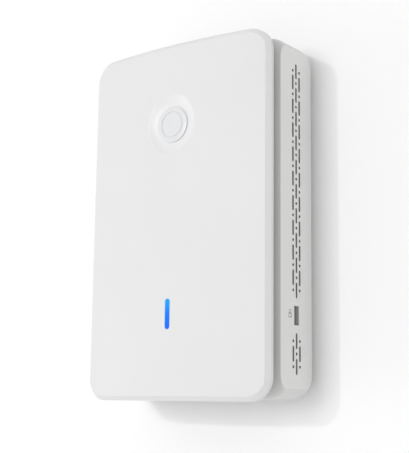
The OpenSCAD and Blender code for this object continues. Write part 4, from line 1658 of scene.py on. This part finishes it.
@dataclass
class Jacks:
    """Row of network jacks, the single uplink jack, and their sprung contacts."""

    paint: Paint
    ports: int = 4
    pitch: float = 14.0
    port_w: float = 11.8
    port_h: float = 7.2
    port_l: float = 13.5
    notch: tuple[float, float] = (6.2, 2.2)
    latch: tuple[float, float] = (3.4, 0.45)
    wall: float = 1.0
    wires: int = 8
    wire_pitch: float = 1.02
    wire_t: float = 0.3
    uplink_up: float = 0.8

    def opening(self, name: str) -> Piece:
        """Make the tool for one port, pointing up from its mouth at the origin.

        Args:
            name: name of the tool.

        Returns:
            The tool, whose latch notch lies towards negative z.
        """
        half_w, half_h = self.port_w / 2, self.port_h / 2
        deep = -half_h - self.notch[1]
        tool = Bench.box(name, (-half_w, -1, -half_h), (half_w, self.port_l, half_h))
        notch = Bench.box(
            "notch", (-self.notch[0] / 2, -1, deep), (self.notch[0] / 2, self.port_l, 0)
        )
        latch = Bench.box(
            "latch", (-self.latch[0] / 2, -1, deep - self.latch[1]), (self.latch[0] / 2, 6, 0)
        )
        return Bench.combine(tool, [notch, latch], "UNION")

    def row(self) -> Piece:
        """Make the metal shell of the row of jacks, with pressed seams."""
        span, board = Span.of("lan_jack"), Span.of("main_board")
        shell = Bench.box("lan_jack", span.low, (span.high.x, span.high.y, span.high.z - 0.5))
        seat = Bench.box("seat", (span.low.x, board.low.y + 0.5, span.high.z - 2), tuple(span.high))
        Bench.combine(shell, [seat], "UNION")
        Bench.soften(shell, 0.3, 3)
        level = span.low.z + self.wall + self.notch[1] + self.port_h / 2
        first = self.opening("opening")
        cuts = []
        for i in range(self.ports):
            x = (i - (self.ports - 1) / 2) * self.pitch
            cuts.append(Bench.copy(first, "opening", shift((x, span.low.y, level))))
        bpy.data.objects.remove(first)
        for i in range(1, self.ports):
            x = (i - self.ports / 2) * self.pitch
            cuts.append(
                Bench.box(
                    "seam", (x - 0.12, span.low.y + 1.5, span.low.z - 1),
                    (x + 0.12, span.high.y - 1.5, span.low.z + 0.2),
                )
            )
        return Bench.combine(shell, cuts)

    def single(self) -> Piece:
        """Make the uplink jack, which opens to the back."""
        span = Span.of("uplink_jack")
        shell = Bench.box("uplink_jack", span.low, span.high)
        Bench.soften(shell, 0.35, 3)
        port = self.opening("opening")
        turn = spin(math.pi / 2, 4, "X")
        port.data.transform(shift((0, span.middle.y + self.uplink_up, span.low.z)) @ turn)
        grooves = [
            Bench.box(
                "groove", (side * span.high.x - 0.2, span.middle.y - 3, span.low.z + 2),
                (side * span.high.x + 0.2, span.middle.y + 3, span.high.z - 2),
            )
            for side in (-1, 1)
        ]
        return Bench.combine(shell, [port, *grooves])

    def comb(self, name: str, length: float) -> Piece:
        """Make the straight wires of one port, with rounded edges.

        Args:
            name: name of the piece.
            length: length of a wire.

        Returns:
            The wires, running up from the origin.
        """
        t = self.wire_t
        wire = Bench.box("wire", (-t / 2, 0, 0), (t / 2, length, t))
        Bench.bevel(wire, lambda edge: not Bench.runs_out(edge), t / 4, 2)
        middle = (self.wires - 1) / 2
        row = [
            Bench.copy(wire, "wire", shift(((i - middle) * self.wire_pitch, 0, 0)))
            for i in range(self.wires)
        ]
        bpy.data.objects.remove(wire)
        return Bench.join(name, row)

    def build(self) -> Piece:
        """Make and place the jacks.

        Returns:
            The row of jacks.
        """
        lan, uplink = Span.of("lan_contacts"), Span.of("uplink_contacts")
        comb = self.comb("comb", lan.size.y)
        combs = [
            Bench.copy(
                comb, "comb", shift(((i - (self.ports - 1) / 2) * self.pitch, lan.low.y, lan.low.z))
            )
            for i in range(self.ports)
        ]
        self.paint.mount(Bench.join("lan_contacts", combs), "lan_contacts")
        place = shift((0, uplink.low.y, uplink.high.z))
        single = Bench.copy(comb, "uplink_contacts", place @ spin(-math.pi / 2, 4, "X"))
        bpy.data.objects.remove(comb)
        self.paint.mount(single, "uplink_contacts")
        self.paint.mount(self.single(), "uplink_jack")
        return self.paint.mount(self.row(), "lan_jack")


@dataclass
class Screws:
    """Screws of the unit: cross-head corner screws and two kinds of small screws."""

    plan: Plan
    paint: Paint
    thread: float = 0.12
    pitch: float = 0.8
    drive: tuple[float, float, float] = (2.6, 0.6, 1.0)
    small: float = 0.6
    small_r: float = 0.98
    small_head_t: float = 1.3
    corner_r: float = 1.48
    corner_head_t: float = 1.7

    def screw(
        self, name: str, shank: float, length: float, head: float, tall: float, slot: float
    ) -> Piece:
        """Make a pan-head screw, with its shank below the origin and its head above.

        Args:
            name: name of the piece.
            shank: radius over the thread.
            length: length below the head.
            head: radius of the head.
            tall: height of the head.
            slot: scale of the cross that is sunk in the head.

        Returns:
            The screw, along z.
        """
        turns = int(length / self.pitch)
        rings = [(shank * 0.6, -length), (shank, -length + 0.5)]
        for i in range(1, turns):
            z = -length + i * self.pitch
            rings += [(shank - self.thread, z + 0.2), (shank, z + self.pitch / 2 + 0.1)]
        rings += [(shank - self.thread, -0.05), (head - 0.15, 0), (head, 0.15)]
        rings += [(head, tall * 0.35), (head * 0.9, tall * 0.75), (head * 0.62, tall)]
        screw = Bench.turned(name, (0, 0, 0), rings, sides=32)
        half_l, half_w, deep = (slot * value / 2 for value in self.drive)
        cross = [
            Bench.box("cross", (-half_l, -half_w, tall - deep), (half_l, half_w, tall + 1)),
            Bench.box("cross", (-half_w, -half_l, tall - deep), (half_w, half_l, tall + 1)),
        ]
        return Bench.combine(screw, cross)

    def set(self, node: str, first: Piece, places: list[Matrix]) -> Piece:
        """Put copies of one screw in their places.

        Args:
            node: node that they stand for.
            first: the screw, which is used up.
            places: transform of each copy.

        Returns:
            The screws as one piece.
        """
        screws = [Bench.copy(first, node, place) for place in places]
        bpy.data.objects.remove(first)
        return self.paint.mount(Bench.join(node, screws), node)

    def build(self) -> Piece:
        """Make and place all the screws.

        Returns:
            The corner screws.
        """
        small, lock = Span.of("spreader_screws"), Span.of("lock_plate_screw")
        head, tall = lock.size.x / 2, self.small_head_t
        first = self.screw("small", self.small_r, small.size.z - tall, head, tall, self.small)
        spots = [
            shift((sx * (small.high.x - head), y, small.high.z - tall))
            for sx in (-1, 1) for y in (small.low.y + head, small.high.y - head)
        ]
        self.set("spreader_screws", first, spots)
        first = self.screw("lock", self.small_r, lock.size.z - tall, head, tall, self.small)
        spot = shift((lock.middle.x, lock.middle.y, lock.high.z - tall))
        self.set("lock_plate_screw", first, [spot])
        span, tall = Span.of("cover_screws"), self.corner_head_t
        head = self.plan.screw_r + self.plan.head_rim
        first = self.screw("corner", self.corner_r, span.size.z - tall, head, tall, 1.0)
        over = spin(math.pi, 4, "X")
        spots = [shift((at.x, at.y, span.low.z + tall)) @ over for at in self.plan.screws]
        return self.set("cover_screws", first, spots)


@dataclass
class SlotPlate:
    """Bent steel angle behind the security slot."""

    levels: Levels
    paint: Paint
    steel: float = 1.2
    slot: tuple[float, float] = (7.0, 3.0)

    def build(self) -> Piece:
        """Make and place the angle.

        Returns:
            The finished angle.
        """
        span, screw = Span.of("lock_plate"), Span.of("lock_plate_screw")
        low, high = span.low, span.high
        angle = Bench.box("lock_plate", (high.x - self.steel, low.y, low.z), tuple(high))
        foot = Bench.box("foot", tuple(low), (high.x, high.y, low.z + self.steel))
        Bench.combine(angle, [foot], "UNION")
        Bench.bevel(
            angle, lambda edge: all(
                v.co.x > high.x - TINY and v.co.z < low.z + TINY for v in edge.verts
            ), 1.1, 8,
        )
        half_l, half_w = (value / 2 for value in self.slot)
        mid = self.levels.middle
        slot = Bench.box(
            "slot", (high.x - 3, span.middle.y - half_l, mid - half_w),
            (high.x + 1, span.middle.y + half_l, mid + half_w),
        )
        bore = Bench.turned(
            "bore", (screw.middle.x, screw.middle.y, low.z - 1), [(1.2, 0), (1.2, 3.2)]
        )
        Bench.combine(angle, [slot, bore])
        Bench.soften(angle, 0.12, 2)
        return self.paint.mount(angle, "lock_plate")


@dataclass
class ResetButton:
    """Turned plunger of the reset button, and the small switch that it presses."""

    paint: Paint
    radius: float = 1.45
    collar_t: float = 1.0

    def build(self) -> Piece:
        """Make and place the plunger and the switch.

        Returns:
            The finished plunger.
        """
        span, switch = Span.of("reset_plunger"), Span.of("reset_switch")
        collar = span.size.x / 2
        length = span.size.y
        start = 2.6
        rings = [
            (self.radius - 0.45, 0), (self.radius - 0.15, 0.08), (self.radius, 0.4),
            (self.radius, start), (collar - 0.1, start), (collar, start + 0.1),
            (collar, start + self.collar_t - 0.1), (collar - 0.1, start + self.collar_t),
            (self.radius, start + self.collar_t), (self.radius, length - 0.2),
            (self.radius - 0.2, length),
        ]
        centre = (span.middle.x, span.low.y, span.middle.z)
        plunger = Bench.turned("reset_plunger", centre, rings, Axis.UP, 40)
        low, high = switch.low, switch.high
        body = Bench.box("reset_switch", (low.x, low.y + 0.7, low.z), tuple(high))
        Bench.soften(body, 0.25, 2)
        button = Bench.turned(
            "button", (switch.middle.x, low.y, span.middle.z), [(0.9, 0), (1.1, 0.2), (1.1, 1.2)],
            Axis.UP,
        )
        self.paint.mount(Bench.combine(body, [button], "UNION"), "reset_switch")
        return self.paint.mount(plunger, "reset_plunger", Body.RESET)


@dataclass
class Chips:
    """Chips on both faces of the board, with their leads or their moulded edges."""

    paint: Paint
    mark_r: float = 0.4
    mark_in: float = 1.3
    lead_pitch: float = 1.0
    lead_w: float = 0.44
    lead_l: float = 0.7
    lead_t: float = 0.18
    memory_w: float = 8.0
    radio_w: float = 9.0

    def leads(self, low: Vector, high: Vector, z0: float, z1: float) -> Piece:
        """Make the flat leads along the four sides of a chip.

        Args:
            low: lowest corner of the chip over its leads.
            high: highest corner.
            z0: lower face of the leads.
            z1: upper face of the leads.

        Returns:
            The leads.
        """
        tabs = []
        for along, across in ((0, 1), (1, 0)):
            count = int((high[along] - low[along] - 2) / self.lead_pitch)
            for i in range(count):
                middle = (low[along] + high[along]) / 2 + (i - (count - 1) / 2) * self.lead_pitch
                for start in (low[across], high[across] - self.lead_l):
                    first, last = Vector((0, 0, z0)), Vector((0, 0, z1))
                    first[along], last[along] = middle - self.lead_w / 2, middle + self.lead_w / 2
                    first[across], last[across] = start, start + self.lead_l
                    tabs.append(Bench.box("lead", first, last))
        return Bench.join("leads", tabs)

    def block(self, name: str, low: Vector, high: Vector, back: bool, leads: bool) -> Piece:
        """Make one chip.

        Args:
            name: name of the piece.
            low: lowest corner.
            high: highest corner.
            back: whether it lies on the board's rear face.
            leads: whether it has flat leads along its four sides.

        Returns:
            The chip.
        """
        inset = 0.4 if leads else 0.0
        shy = Vector((inset, inset, 0))
        chip = Bench.box(name, low + shy, high - shy)
        outer = low.z if back else high.z
        foot = high.z if back else low.z

        def rim(edge: Edge) -> bool:
            """Whether an edge borders the outer face or runs up a corner."""
            return any(abs(v.co.z - outer) < TINY for v in edge.verts)

        Bench.bevel(chip, rim, 0.12, 2)
        mark = Bench.turned(
            "mark", (low.x + self.mark_in, high.y - self.mark_in, outer),
            [(self.mark_r, -0.1), (self.mark_r, 0.1)], sides=24,
        )
        Bench.combine(chip, [mark])
        if not leads:
            return chip
        z0, z1 = (foot - self.lead_t, foot) if back else (foot, foot + self.lead_t)
        tabs = self.leads(low, high, z0, z1)
        self.paint.coat(chip, "chip_black")
        self.paint.coat(tabs, "shield_tin")
        return Bench.combine(chip, [tabs], "UNION", "TRANSFER")

    def pair(self, node: str, width: float, back: bool, leads: bool) -> Piece:
        """Make the two chips of a node that holds a left and a right one.

        Args:
            node: name of the node.
            width: width of one chip.
            back: whether they lie on the board's rear face.
            leads: whether they have leads.

        Returns:
            Both chips as one piece.
        """
        span = Span.of(node)
        left = self.block(
            node, span.low, Vector((span.low.x + width, span.high.y, span.high.z)), back, leads
        )
        right = Bench.copy(left, node, shift((span.size.x - width, 0, 0)))
        return Bench.join(node, [left, right])

    def build(self) -> Piece:
        """Make and place every chip.

        Returns:
            The processor.
        """
        switch, processor = Span.of("switch_chip"), Span.of("processor")
        self.paint.mount(self.pair("memory_chips", self.memory_w, True, False), "memory_chips")
        self.paint.mount(
            self.pair("radio_chips", self.radio_w, False, True), "radio_chips", coat=False
        )
        self.paint.mount(
            self.block("switch_chip", switch.low, switch.high, False, True), "switch_chip",
            coat=False,
        )
        return self.paint.mount(
            self.block("processor", processor.low, processor.high, True, False), "processor"
        )


@dataclass
class Shields:
    """Drawn metal cans over the chips on the board's front face."""

    paint: Paint
    sheet: float = 0.3
    corner: float = 0.8
    hole_r: float = 0.6
    edge_r: float = 0.25
    nodes: tuple[str, ...] = ("radio_shield", "switch_shield", "power_shield")

    def can(self, node: str) -> Piece:
        """Make one can.

        Args:
            node: node that it stands for.

        Returns:
            The can.
        """
        span = Span.of(node)
        half, at = span.size / 2, tuple(span.middle.xy)
        can = Bench.slab(node, half.x, half.y, span.low.z, span.high.z, self.corner, at)
        Bench.bevel(can, Bench.at_level(span.high.z), self.edge_r, 3)
        inside = Bench.slab(
            "inside", half.x - self.sheet, half.y - self.sheet, span.low.z - 1,
            span.high.z - self.sheet, self.corner - self.sheet, at,
        )
        holes = [
            Bench.turned(
                "hole", (at[0] + i * half.x / 2, at[1] + j * half.y / 2, span.high.z),
                [(self.hole_r, -1), (self.hole_r, 1)], sides=20,
            )
            for i in (-1, 0, 1) for j in (-1, 0, 1)
        ]
        return Bench.combine(can, [inside, *holes])

    def build(self) -> Piece:
        """Make the cans, put them in their places and return the last one."""
        made = [self.paint.mount(self.can(node), node) for node in self.nodes]
        return made[-1]


@dataclass
class PowerParts:
    """Transformer, inductor, capacitors and network magnetics on the board's rear face."""

    paint: Paint

    def transformer(self) -> Piece:
        """Make the transformer: a wound bobbin between two flanges."""
        span = Span.of("poe_transformer")
        half, at = span.size.x / 2, span.middle
        foot = Bench.slab(
            "poe_transformer", half, half, span.high.z - 2, span.high.z, 0.6, tuple(at.xy)
        )
        cap = Bench.slab("cap", half, half, span.low.z, span.low.z + 2.1, 0.6, tuple(at.xy))
        rings = [(5.0, 0.0)]
        depth = span.size.z - 3.9
        turns = 10
        for i in range(turns):
            z = depth * i / turns
            rings += [(4.85, z + 0.08), (5.0, z + depth / turns / 2)]
        rings.append((4.9, depth))
        winding = Bench.turned("winding", (at.x, at.y, span.low.z + 2.0), rings, sides=40)
        for part in (foot, cap):
            Bench.soften(part, 0.2, 2)
        return Bench.combine(foot, [winding, cap], "UNION")

    def inductor(self) -> Piece:
        """Make the moulded inductor with a round dent in its face."""
        span = Span.of("power_inductor")
        half, at = span.size.x / 2, span.middle
        block = Bench.slab("power_inductor", half, half, span.low.z, span.high.z, 1.0, tuple(at.xy))
        Bench.soften(block, 0.3, 2)
        dent = Bench.turned("dent", (at.x, at.y, span.low.z), [(2.6, -1), (2.5, 0.2)], sides=40)
        return Bench.combine(block, [dent])

    def capacitor(self, name: str, radius: float, tall: float) -> Piece:
        """Make one capacitor: a can with a rolled groove, on a chamfered base.

        Args:
            name: name of the piece.
            radius: radius of the can.
            tall: height over the base.

        Returns:
            The capacitor, standing on the origin and pointing to negative z.
        """
        rings = [
            (radius - 0.4, -tall), (radius - 0.1, -tall + 0.08), (radius, -tall + 0.35),
            (radius, -3.2), (radius - 0.25, -2.9), (radius - 0.25, -2.7), (radius, -2.4),
            (radius, -0.9),
        ]
        can = Bench.turned(name, (0, 0, 0), rings, sides=40)
        vents = [
            Bench.box("vent", (-1.8, -0.07, -tall - 1), (1.8, 0.07, -tall + 0.12)),
            Bench.box("vent", (-0.07, -1.8, -tall - 1), (0.07, 1.8, -tall + 0.12)),
        ]
        Bench.combine(can, vents)
        half = radius + 0.2
        base = Bench.slab("base", half, half, -1.0, 0.0)
        Bench.bevel(base, lambda edge: Bench.runs_out(edge) and edge.verts[0].co.x < 0, 1.2, 1)
        Bench.bevel(base, lambda edge: not Bench.runs_out(edge), 0.1, 2)
        return Bench.combine(can, [base], "UNION")

    def magnetics(self) -> Piece:
        """Make the two magnetics blocks, each with a row of leads along its long sides."""
        span = Span.of("lan_magnetics")
        width = 15.0
        block = Bench.box(
            "lan_magnetics", (span.low.x, span.low.y + 0.8, span.low.z),
            (span.low.x + width, span.high.y - 0.8, span.high.z - 0.1),
        )
        Bench.soften(block, 0.25, 2)
        leads = []
        for i in range(10):
            x = span.low.x + 1.8 + i * 1.27
            for y0, y1 in ((span.low.y, span.low.y + 1.2), (span.high.y - 1.2, span.high.y)):
                leads.append(Bench.box("lead", (x - 0.2, y0, span.high.z - 0.25),
                                       (x + 0.2, y1, span.high.z)))
        leads = Bench.join("leads", leads)
        self.paint.coat(block, "chip_black")
        self.paint.coat(leads, "shield_tin")
        Bench.combine(block, [leads], "UNION", "TRANSFER")
        twin = Bench.copy(block, "twin", shift((span.size.x - width, 0, 0)))
        return Bench.join("lan_magnetics", [block, twin])

    def build(self) -> Piece:
        """Make and place the power parts.

        Returns:
            The transformer.
        """
        span = Span.of("capacitors")
        half = span.size.y / 2
        first = self.capacitor("capacitors", half - 0.2, span.size.z)
        pitch = (span.size.x - 2 * half) / 2
        row = [
            Bench.copy(
                first, "capacitor",
                shift((span.low.x + half + i * pitch, span.middle.y, span.high.z)),
            )
            for i in range(3)
        ]
        bpy.data.objects.remove(first)
        self.paint.mount(Bench.join("capacitors", row), "capacitors")
        self.paint.mount(self.inductor(), "power_inductor")
        self.paint.mount(self.magnetics(), "lan_magnetics", coat=False)
        return self.paint.mount(self.transformer(), "poe_transformer")


@dataclass
class Antennas:
    """Stamped inverted-F antennas along the board's edges."""

    paint: Paint
    sheet: float = 0.4
    leg_pitch: float = 5.0

    def stamp(self, name: str, length: float, width: float, low: float, high: float) -> Piece:
        """Make one antenna along x, about the origin.

        Args:
            name: name of the piece.
            length: its length.
            width: its width.
            low: level of its feet.
            high: level of its upper face.

        Returns:
            The antenna.
        """
        half_l, half_w, t = length / 2, width / 2, self.sheet
        plate = Bench.box(name, (-half_l, -half_w, high - t), (half_l, half_w, high))
        far = half_w - 2
        legs = [
            Bench.box("leg", (x, -half_w, low), (x + t, far, high))
            for x in (-half_l, self.leg_pitch - half_l)
        ]
        foot = Bench.box(
            "foot", (-half_l, -half_w, low), (self.leg_pitch - half_l + t, far, low + t)
        )
        Bench.combine(plate, [*legs, foot], "UNION")
        slot = Bench.pill(
            "slot", (half_l * 0.35, 0, high), 0.9, length * 0.45, 4, spin(math.pi / 2, 4, "Z"), 16,
        )
        Bench.combine(plate, [slot])
        Bench.soften(plate, 0.08, 2)
        return plate

    def build(self) -> Piece:
        """Make and place the four antennas.

        Returns:
            The last antenna.
        """
        turns = {
            "antenna_top_left": 0, "antenna_top_right": 180,
            "antenna_side_left": 90, "antenna_side_right": -90,
        }
        made = []
        for node, turn in turns.items():
            span = Span.of(node)
            length, width = max(span.size.xy), min(span.size.xy)
            piece = self.stamp(node, length, width, span.low.z, span.high.z)
            place = shift((span.middle.x, span.middle.y, 0))
            piece.data.transform(place @ spin(math.radians(turn), 4, "Z"))
            made.append(self.paint.mount(piece, node))
        return made[-1]


@dataclass
class Board:
    """Main board with its light parts, thermal pad, heat spreader, gasket and rating label."""

    plan: Plan
    paint: Paint
    corner: float = 3.0
    posts: tuple[float, float] = (21.0, 18.0)
    post_hole_r: float = 1.2
    bore_r: float = 1.0
    bore_d: float = 5.0
    spreader_t: float = 1.8
    stand_rim: float = 2.0
    edge_r: float = 0.3
    fin_half: tuple[float, float] = (2.4, 0.6)
    fin_h: float = 3.0
    fin_x: float = 15.0
    fin_pitch: float = 5.0
    led_half: float = 0.8

    def post_places(self, middle_y: float) -> list[tuple[float, float]]:
        """List where the spreader's posts stand about its middle."""
        return [(sx * self.posts[0], middle_y + sy * self.posts[1]) for sx, sy in CORNERS]

    def board(self) -> Piece:
        """Make the board with its holes."""
        span, spreader = Span.of("main_board"), Span.of("heat_spreader")
        board = Bench.slab(
            "main_board", span.high.x, span.high.y, span.low.z, span.high.z, self.corner
        )
        Bench.soften(board, 0.1, 1)
        spots = [(at.x, at.y, self.plan.screw_r + 0.2) for at in self.plan.screws]
        spots += [(x, y, self.post_hole_r) for x, y in self.post_places(spreader.middle.y)]
        holes = [
            Bench.turned("hole", (x, y, span.low.z - 1), [(r, 0), (r, span.size.z + 2)], sides=24)
            for x, y, r in spots
        ]
        return Bench.combine(board, holes)

    def spreader(self) -> Piece:
        """Make the cast plate with its pedestal, posts and fins."""
        span, pad = Span.of("heat_spreader"), Span.of("thermal_pad")
        at, low, top = span.middle, span.low.z, span.low.z + self.spreader_t
        plate = Bench.slab(
            "heat_spreader", span.size.x / 2, span.size.y / 2, low, top, self.corner, tuple(at.xy)
        )
        Bench.soften(plate, self.edge_r, 2)
        half = pad.size.x / 2 + self.stand_rim
        stand = Bench.slab("stand", half, half, top - 0.1, pad.low.z, 1.5, tuple(at.xy))
        Bench.bevel(stand, Bench.at_level(pad.low.z), self.edge_r, 2)
        head = span.high.z
        rings = [(2.8, top - 0.1), (2.6, top + 0.6), (2.55, head - 0.2), (2.35, head)]
        places = self.post_places(at.y)
        posts = [Bench.turned("post", (*place, 0), rings) for place in places]
        fins = []
        for i in range(-2, 3):
            for side in (-1, 1):
                place = (side * self.fin_x, at.y + i * self.fin_pitch)
                fin = Bench.slab("fin", *self.fin_half, top - 0.1, top + self.fin_h, 0.4, place, 4)
                Bench.bevel(fin, Bench.at_level(top + self.fin_h), 0.2, 2)
                fins.append(fin)
        hole = [(self.bore_r, -self.bore_d), (self.bore_r, 1)]
        bores = [Bench.turned("bore", (*place, head), hole, sides=24) for place in places]
        Bench.combine(plate, [stand, *posts, *fins], "UNION")
        return Bench.combine(plate, bores)

    def leds(self) -> Piece:
        """Make the two light-emitting chips, each with a round lens in its face."""
        span, half = Span.of("status_leds"), self.led_half
        made = []
        for y in (span.low.y + half, span.high.y - half):
            led = Bench.slab("status_leds", half, half, span.low.z, span.high.z, 0.2, (0, y), 4)
            dent = Bench.turned("dent", (0, y, span.high.z), [(0.45, -0.15), (0.6, 0.1)], sides=24)
            made.append(Bench.combine(led, [dent]))
        return Bench.join("status_leds", made)

    def gasket(self) -> Piece:
        """Make the foam ring round the light path."""
        span = Span.of("light_gasket")
        ring = Bench.pill(
            "light_gasket", tuple(span.middle), span.size.x, span.size.y, span.size.z, sides=48
        )
        Bench.soften(ring, 0.3, 3)
        inside = Bench.pill(
            "inside", tuple(span.middle), *self.plan.light_slot, span.size.z + 2, sides=48
        )
        return Bench.combine(ring, [inside])

    def build(self) -> Piece:
        """Make and place the board's own parts.

        Returns:
            The board.
        """
        for node, soft in (("thermal_pad", 0.2), ("rating_label", 0.03)):
            span = Span.of(node)
            half, at = span.size / 2, tuple(span.middle.xy)
            sheet = Bench.slab(node, half.x, half.y, span.low.z, span.high.z, 1.0, at)
            Bench.soften(sheet, soft, 2)
            self.paint.mount(sheet, node)
        self.paint.mount(self.leds(), "status_leds")
        self.paint.mount(self.gasket(), "light_gasket")
        self.paint.mount(self.spreader(), "heat_spreader")
        return self.paint.mount(self.board(), "main_board")


@dataclass(frozen=True)
class SoftBox:
    """Square lamp that faces the object.

    Attributes:
        name: name of the lamp.
        azimuth: degrees to the right of straight ahead.
        elevation: degrees above the horizon.
        spread: angle that its side takes up, seen from the object, in degrees.
        light: light that it gives a surface that faces it, as a share of white.
    """

    name: str
    azimuth: float
    elevation: float
    spread: float
    light: float

    def hang(self, distance: float) -> None:
        """Hang the lamp at a distance from the object.

        Args:
            distance: distance in metres.
        """
        azimuth, elevation = math.radians(self.azimuth), math.radians(self.elevation)
        place = distance * Vector(
            (
                math.sin(azimuth) * math.cos(elevation), -math.cos(azimuth) * math.cos(elevation),
                math.sin(elevation),
            )
        )
        lamp = bpy.data.objects.new(self.name, bpy.data.lights.new(self.name, "AREA"))
        lamp.data.size = 2 * distance * math.tan(math.radians(self.spread) / 2)
        lamp.data.energy = self.light * (math.pi * distance) ** 2
        lamp.location = place
        lamp.rotation_euler = (-place).to_track_quat("-Z", "Y").to_euler()
        bpy.context.scene.collection.objects.link(lamp)


@dataclass
class Studio:
    """Pale room with soft light, and the camera."""

    eye: tuple[float, float, float] = (0.24421, -0.34145, -0.06999)
    yaw: float = 36.691
    pitch: float = 9.664
    roll: float = 0.705
    lens: float = 82.25
    room: float = 3.0
    floor_z: float = -0.6
    wall_gap: float = 0.0004
    sky: float = 0.675
    lamp_distance: float = 2.0
    lamps: tuple[SoftBox, ...] = (
        SoftBox("key", -8.0, 6.0, 16.0, 0.25),
        SoftBox("spark", -15.9, 12.0, 1.2, 0.09),
        SoftBox("left_fill", -62.0, -12.0, 30.0, 0.14),
    )

    def camera(self) -> None:
        """Put the camera below and to the right of the object."""
        yaw, pitch, roll = (math.radians(a) for a in (self.yaw, self.pitch, self.roll))
        ahead = Vector(
            (-math.sin(yaw) * math.cos(pitch), math.cos(yaw) * math.cos(pitch), math.sin(pitch))
        )
        right = Vector((math.cos(yaw), math.sin(yaw), 0))
        up = right.cross(ahead)
        across = math.cos(roll) * right + math.sin(roll) * up
        rise = -math.sin(roll) * right + math.cos(roll) * up
        turn = Matrix((across, rise, -ahead)).transposed().to_4x4()
        camera = bpy.data.objects.new("camera", bpy.data.cameras.new("camera"))
        camera.data.lens = self.lens
        camera.data.clip_start = 0.01
        camera.matrix_world = shift(self.eye) @ turn
        bpy.context.scene.collection.objects.link(camera)
        bpy.context.scene.camera = camera

    def wall(self) -> None:
        """Make the wall, with the hole of a wall box that the object covers."""
        low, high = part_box("housing")
        bracket_low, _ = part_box("wall_bracket")
        edge = 0.005
        xs = (-self.room, low.x + edge, high.x - edge, self.room)
        zs = (self.floor_z, bracket_low.z - edge, high.z - edge, self.room)
        mesh = bmesh.new()
        grid = [[mesh.verts.new((x, self.wall_gap, z)) for x in xs] for z in zs]
        for row in range(3):
            for column in range(3):
                if (row, column) != (1, 1):
                    corners = (grid[row][column], grid[row][column + 1])
                    mesh.faces.new((*corners, grid[row + 1][column + 1], grid[row + 1][column]))
        data = bpy.data.meshes.new("wall")
        mesh.to_mesh(data)
        mesh.free()
        sheet = bpy.data.objects.new("wall", data)
        bpy.context.scene.collection.objects.link(sheet)
        data.materials.append(PaintedWall("wall_paint", (0.95, 0.95, 0.95)).build())

    def floor(self) -> None:
        """Make the floor."""
        Bench.rest()
        bpy.ops.mesh.primitive_plane_add(size=2 * self.room, location=(0, 0, self.floor_z))
        sheet = Bench.settle("floor")
        sheet.data.materials.append(PaintedWall("floor_paint", (0.78, 0.78, 0.78)).build())

    def build(self) -> None:
        """Set up the room, the lights and the camera."""
        scene = bpy.context.scene
        scene.view_settings.view_transform = "Standard"
        world = bpy.data.worlds.new("room")
        world.use_nodes = True
        world.node_tree.nodes["Background"].inputs["Color"].default_value = (1, 1, 1, 1)
        world.node_tree.nodes["Background"].inputs["Strength"].default_value = self.sky
        scene.world = world
        self.wall()
        self.floor()
        for lamp in self.lamps:
            lamp.hang(self.lamp_distance)
        self.camera()


def main() -> None:
    """Build every assembly in order and report it."""
    paint = Paint()
    levels, plan = Levels(), Plan()
    studio = Studio()
    studio.build()
    log.info("studio ready")
    paint.dress_frame()
    log.info("frame dressed: %d nodes", len(frame["nodes"]))
    for maker in (
        FrontCover(levels, plan, paint), Badge(paint), StatusLight(levels, plan, paint),
        Housing(levels, plan, paint), Bracket(paint), Jacks(paint), Screws(plan, paint),
        SlotPlate(levels, paint), ResetButton(paint), Board(plan, paint), Chips(paint),
        Shields(paint), PowerParts(paint), Antennas(paint),
    ):
        piece = maker.build()
        log.info("%s: %d faces", piece.name, len(piece.data.polygons))


if __name__ == "__main__":
    main()
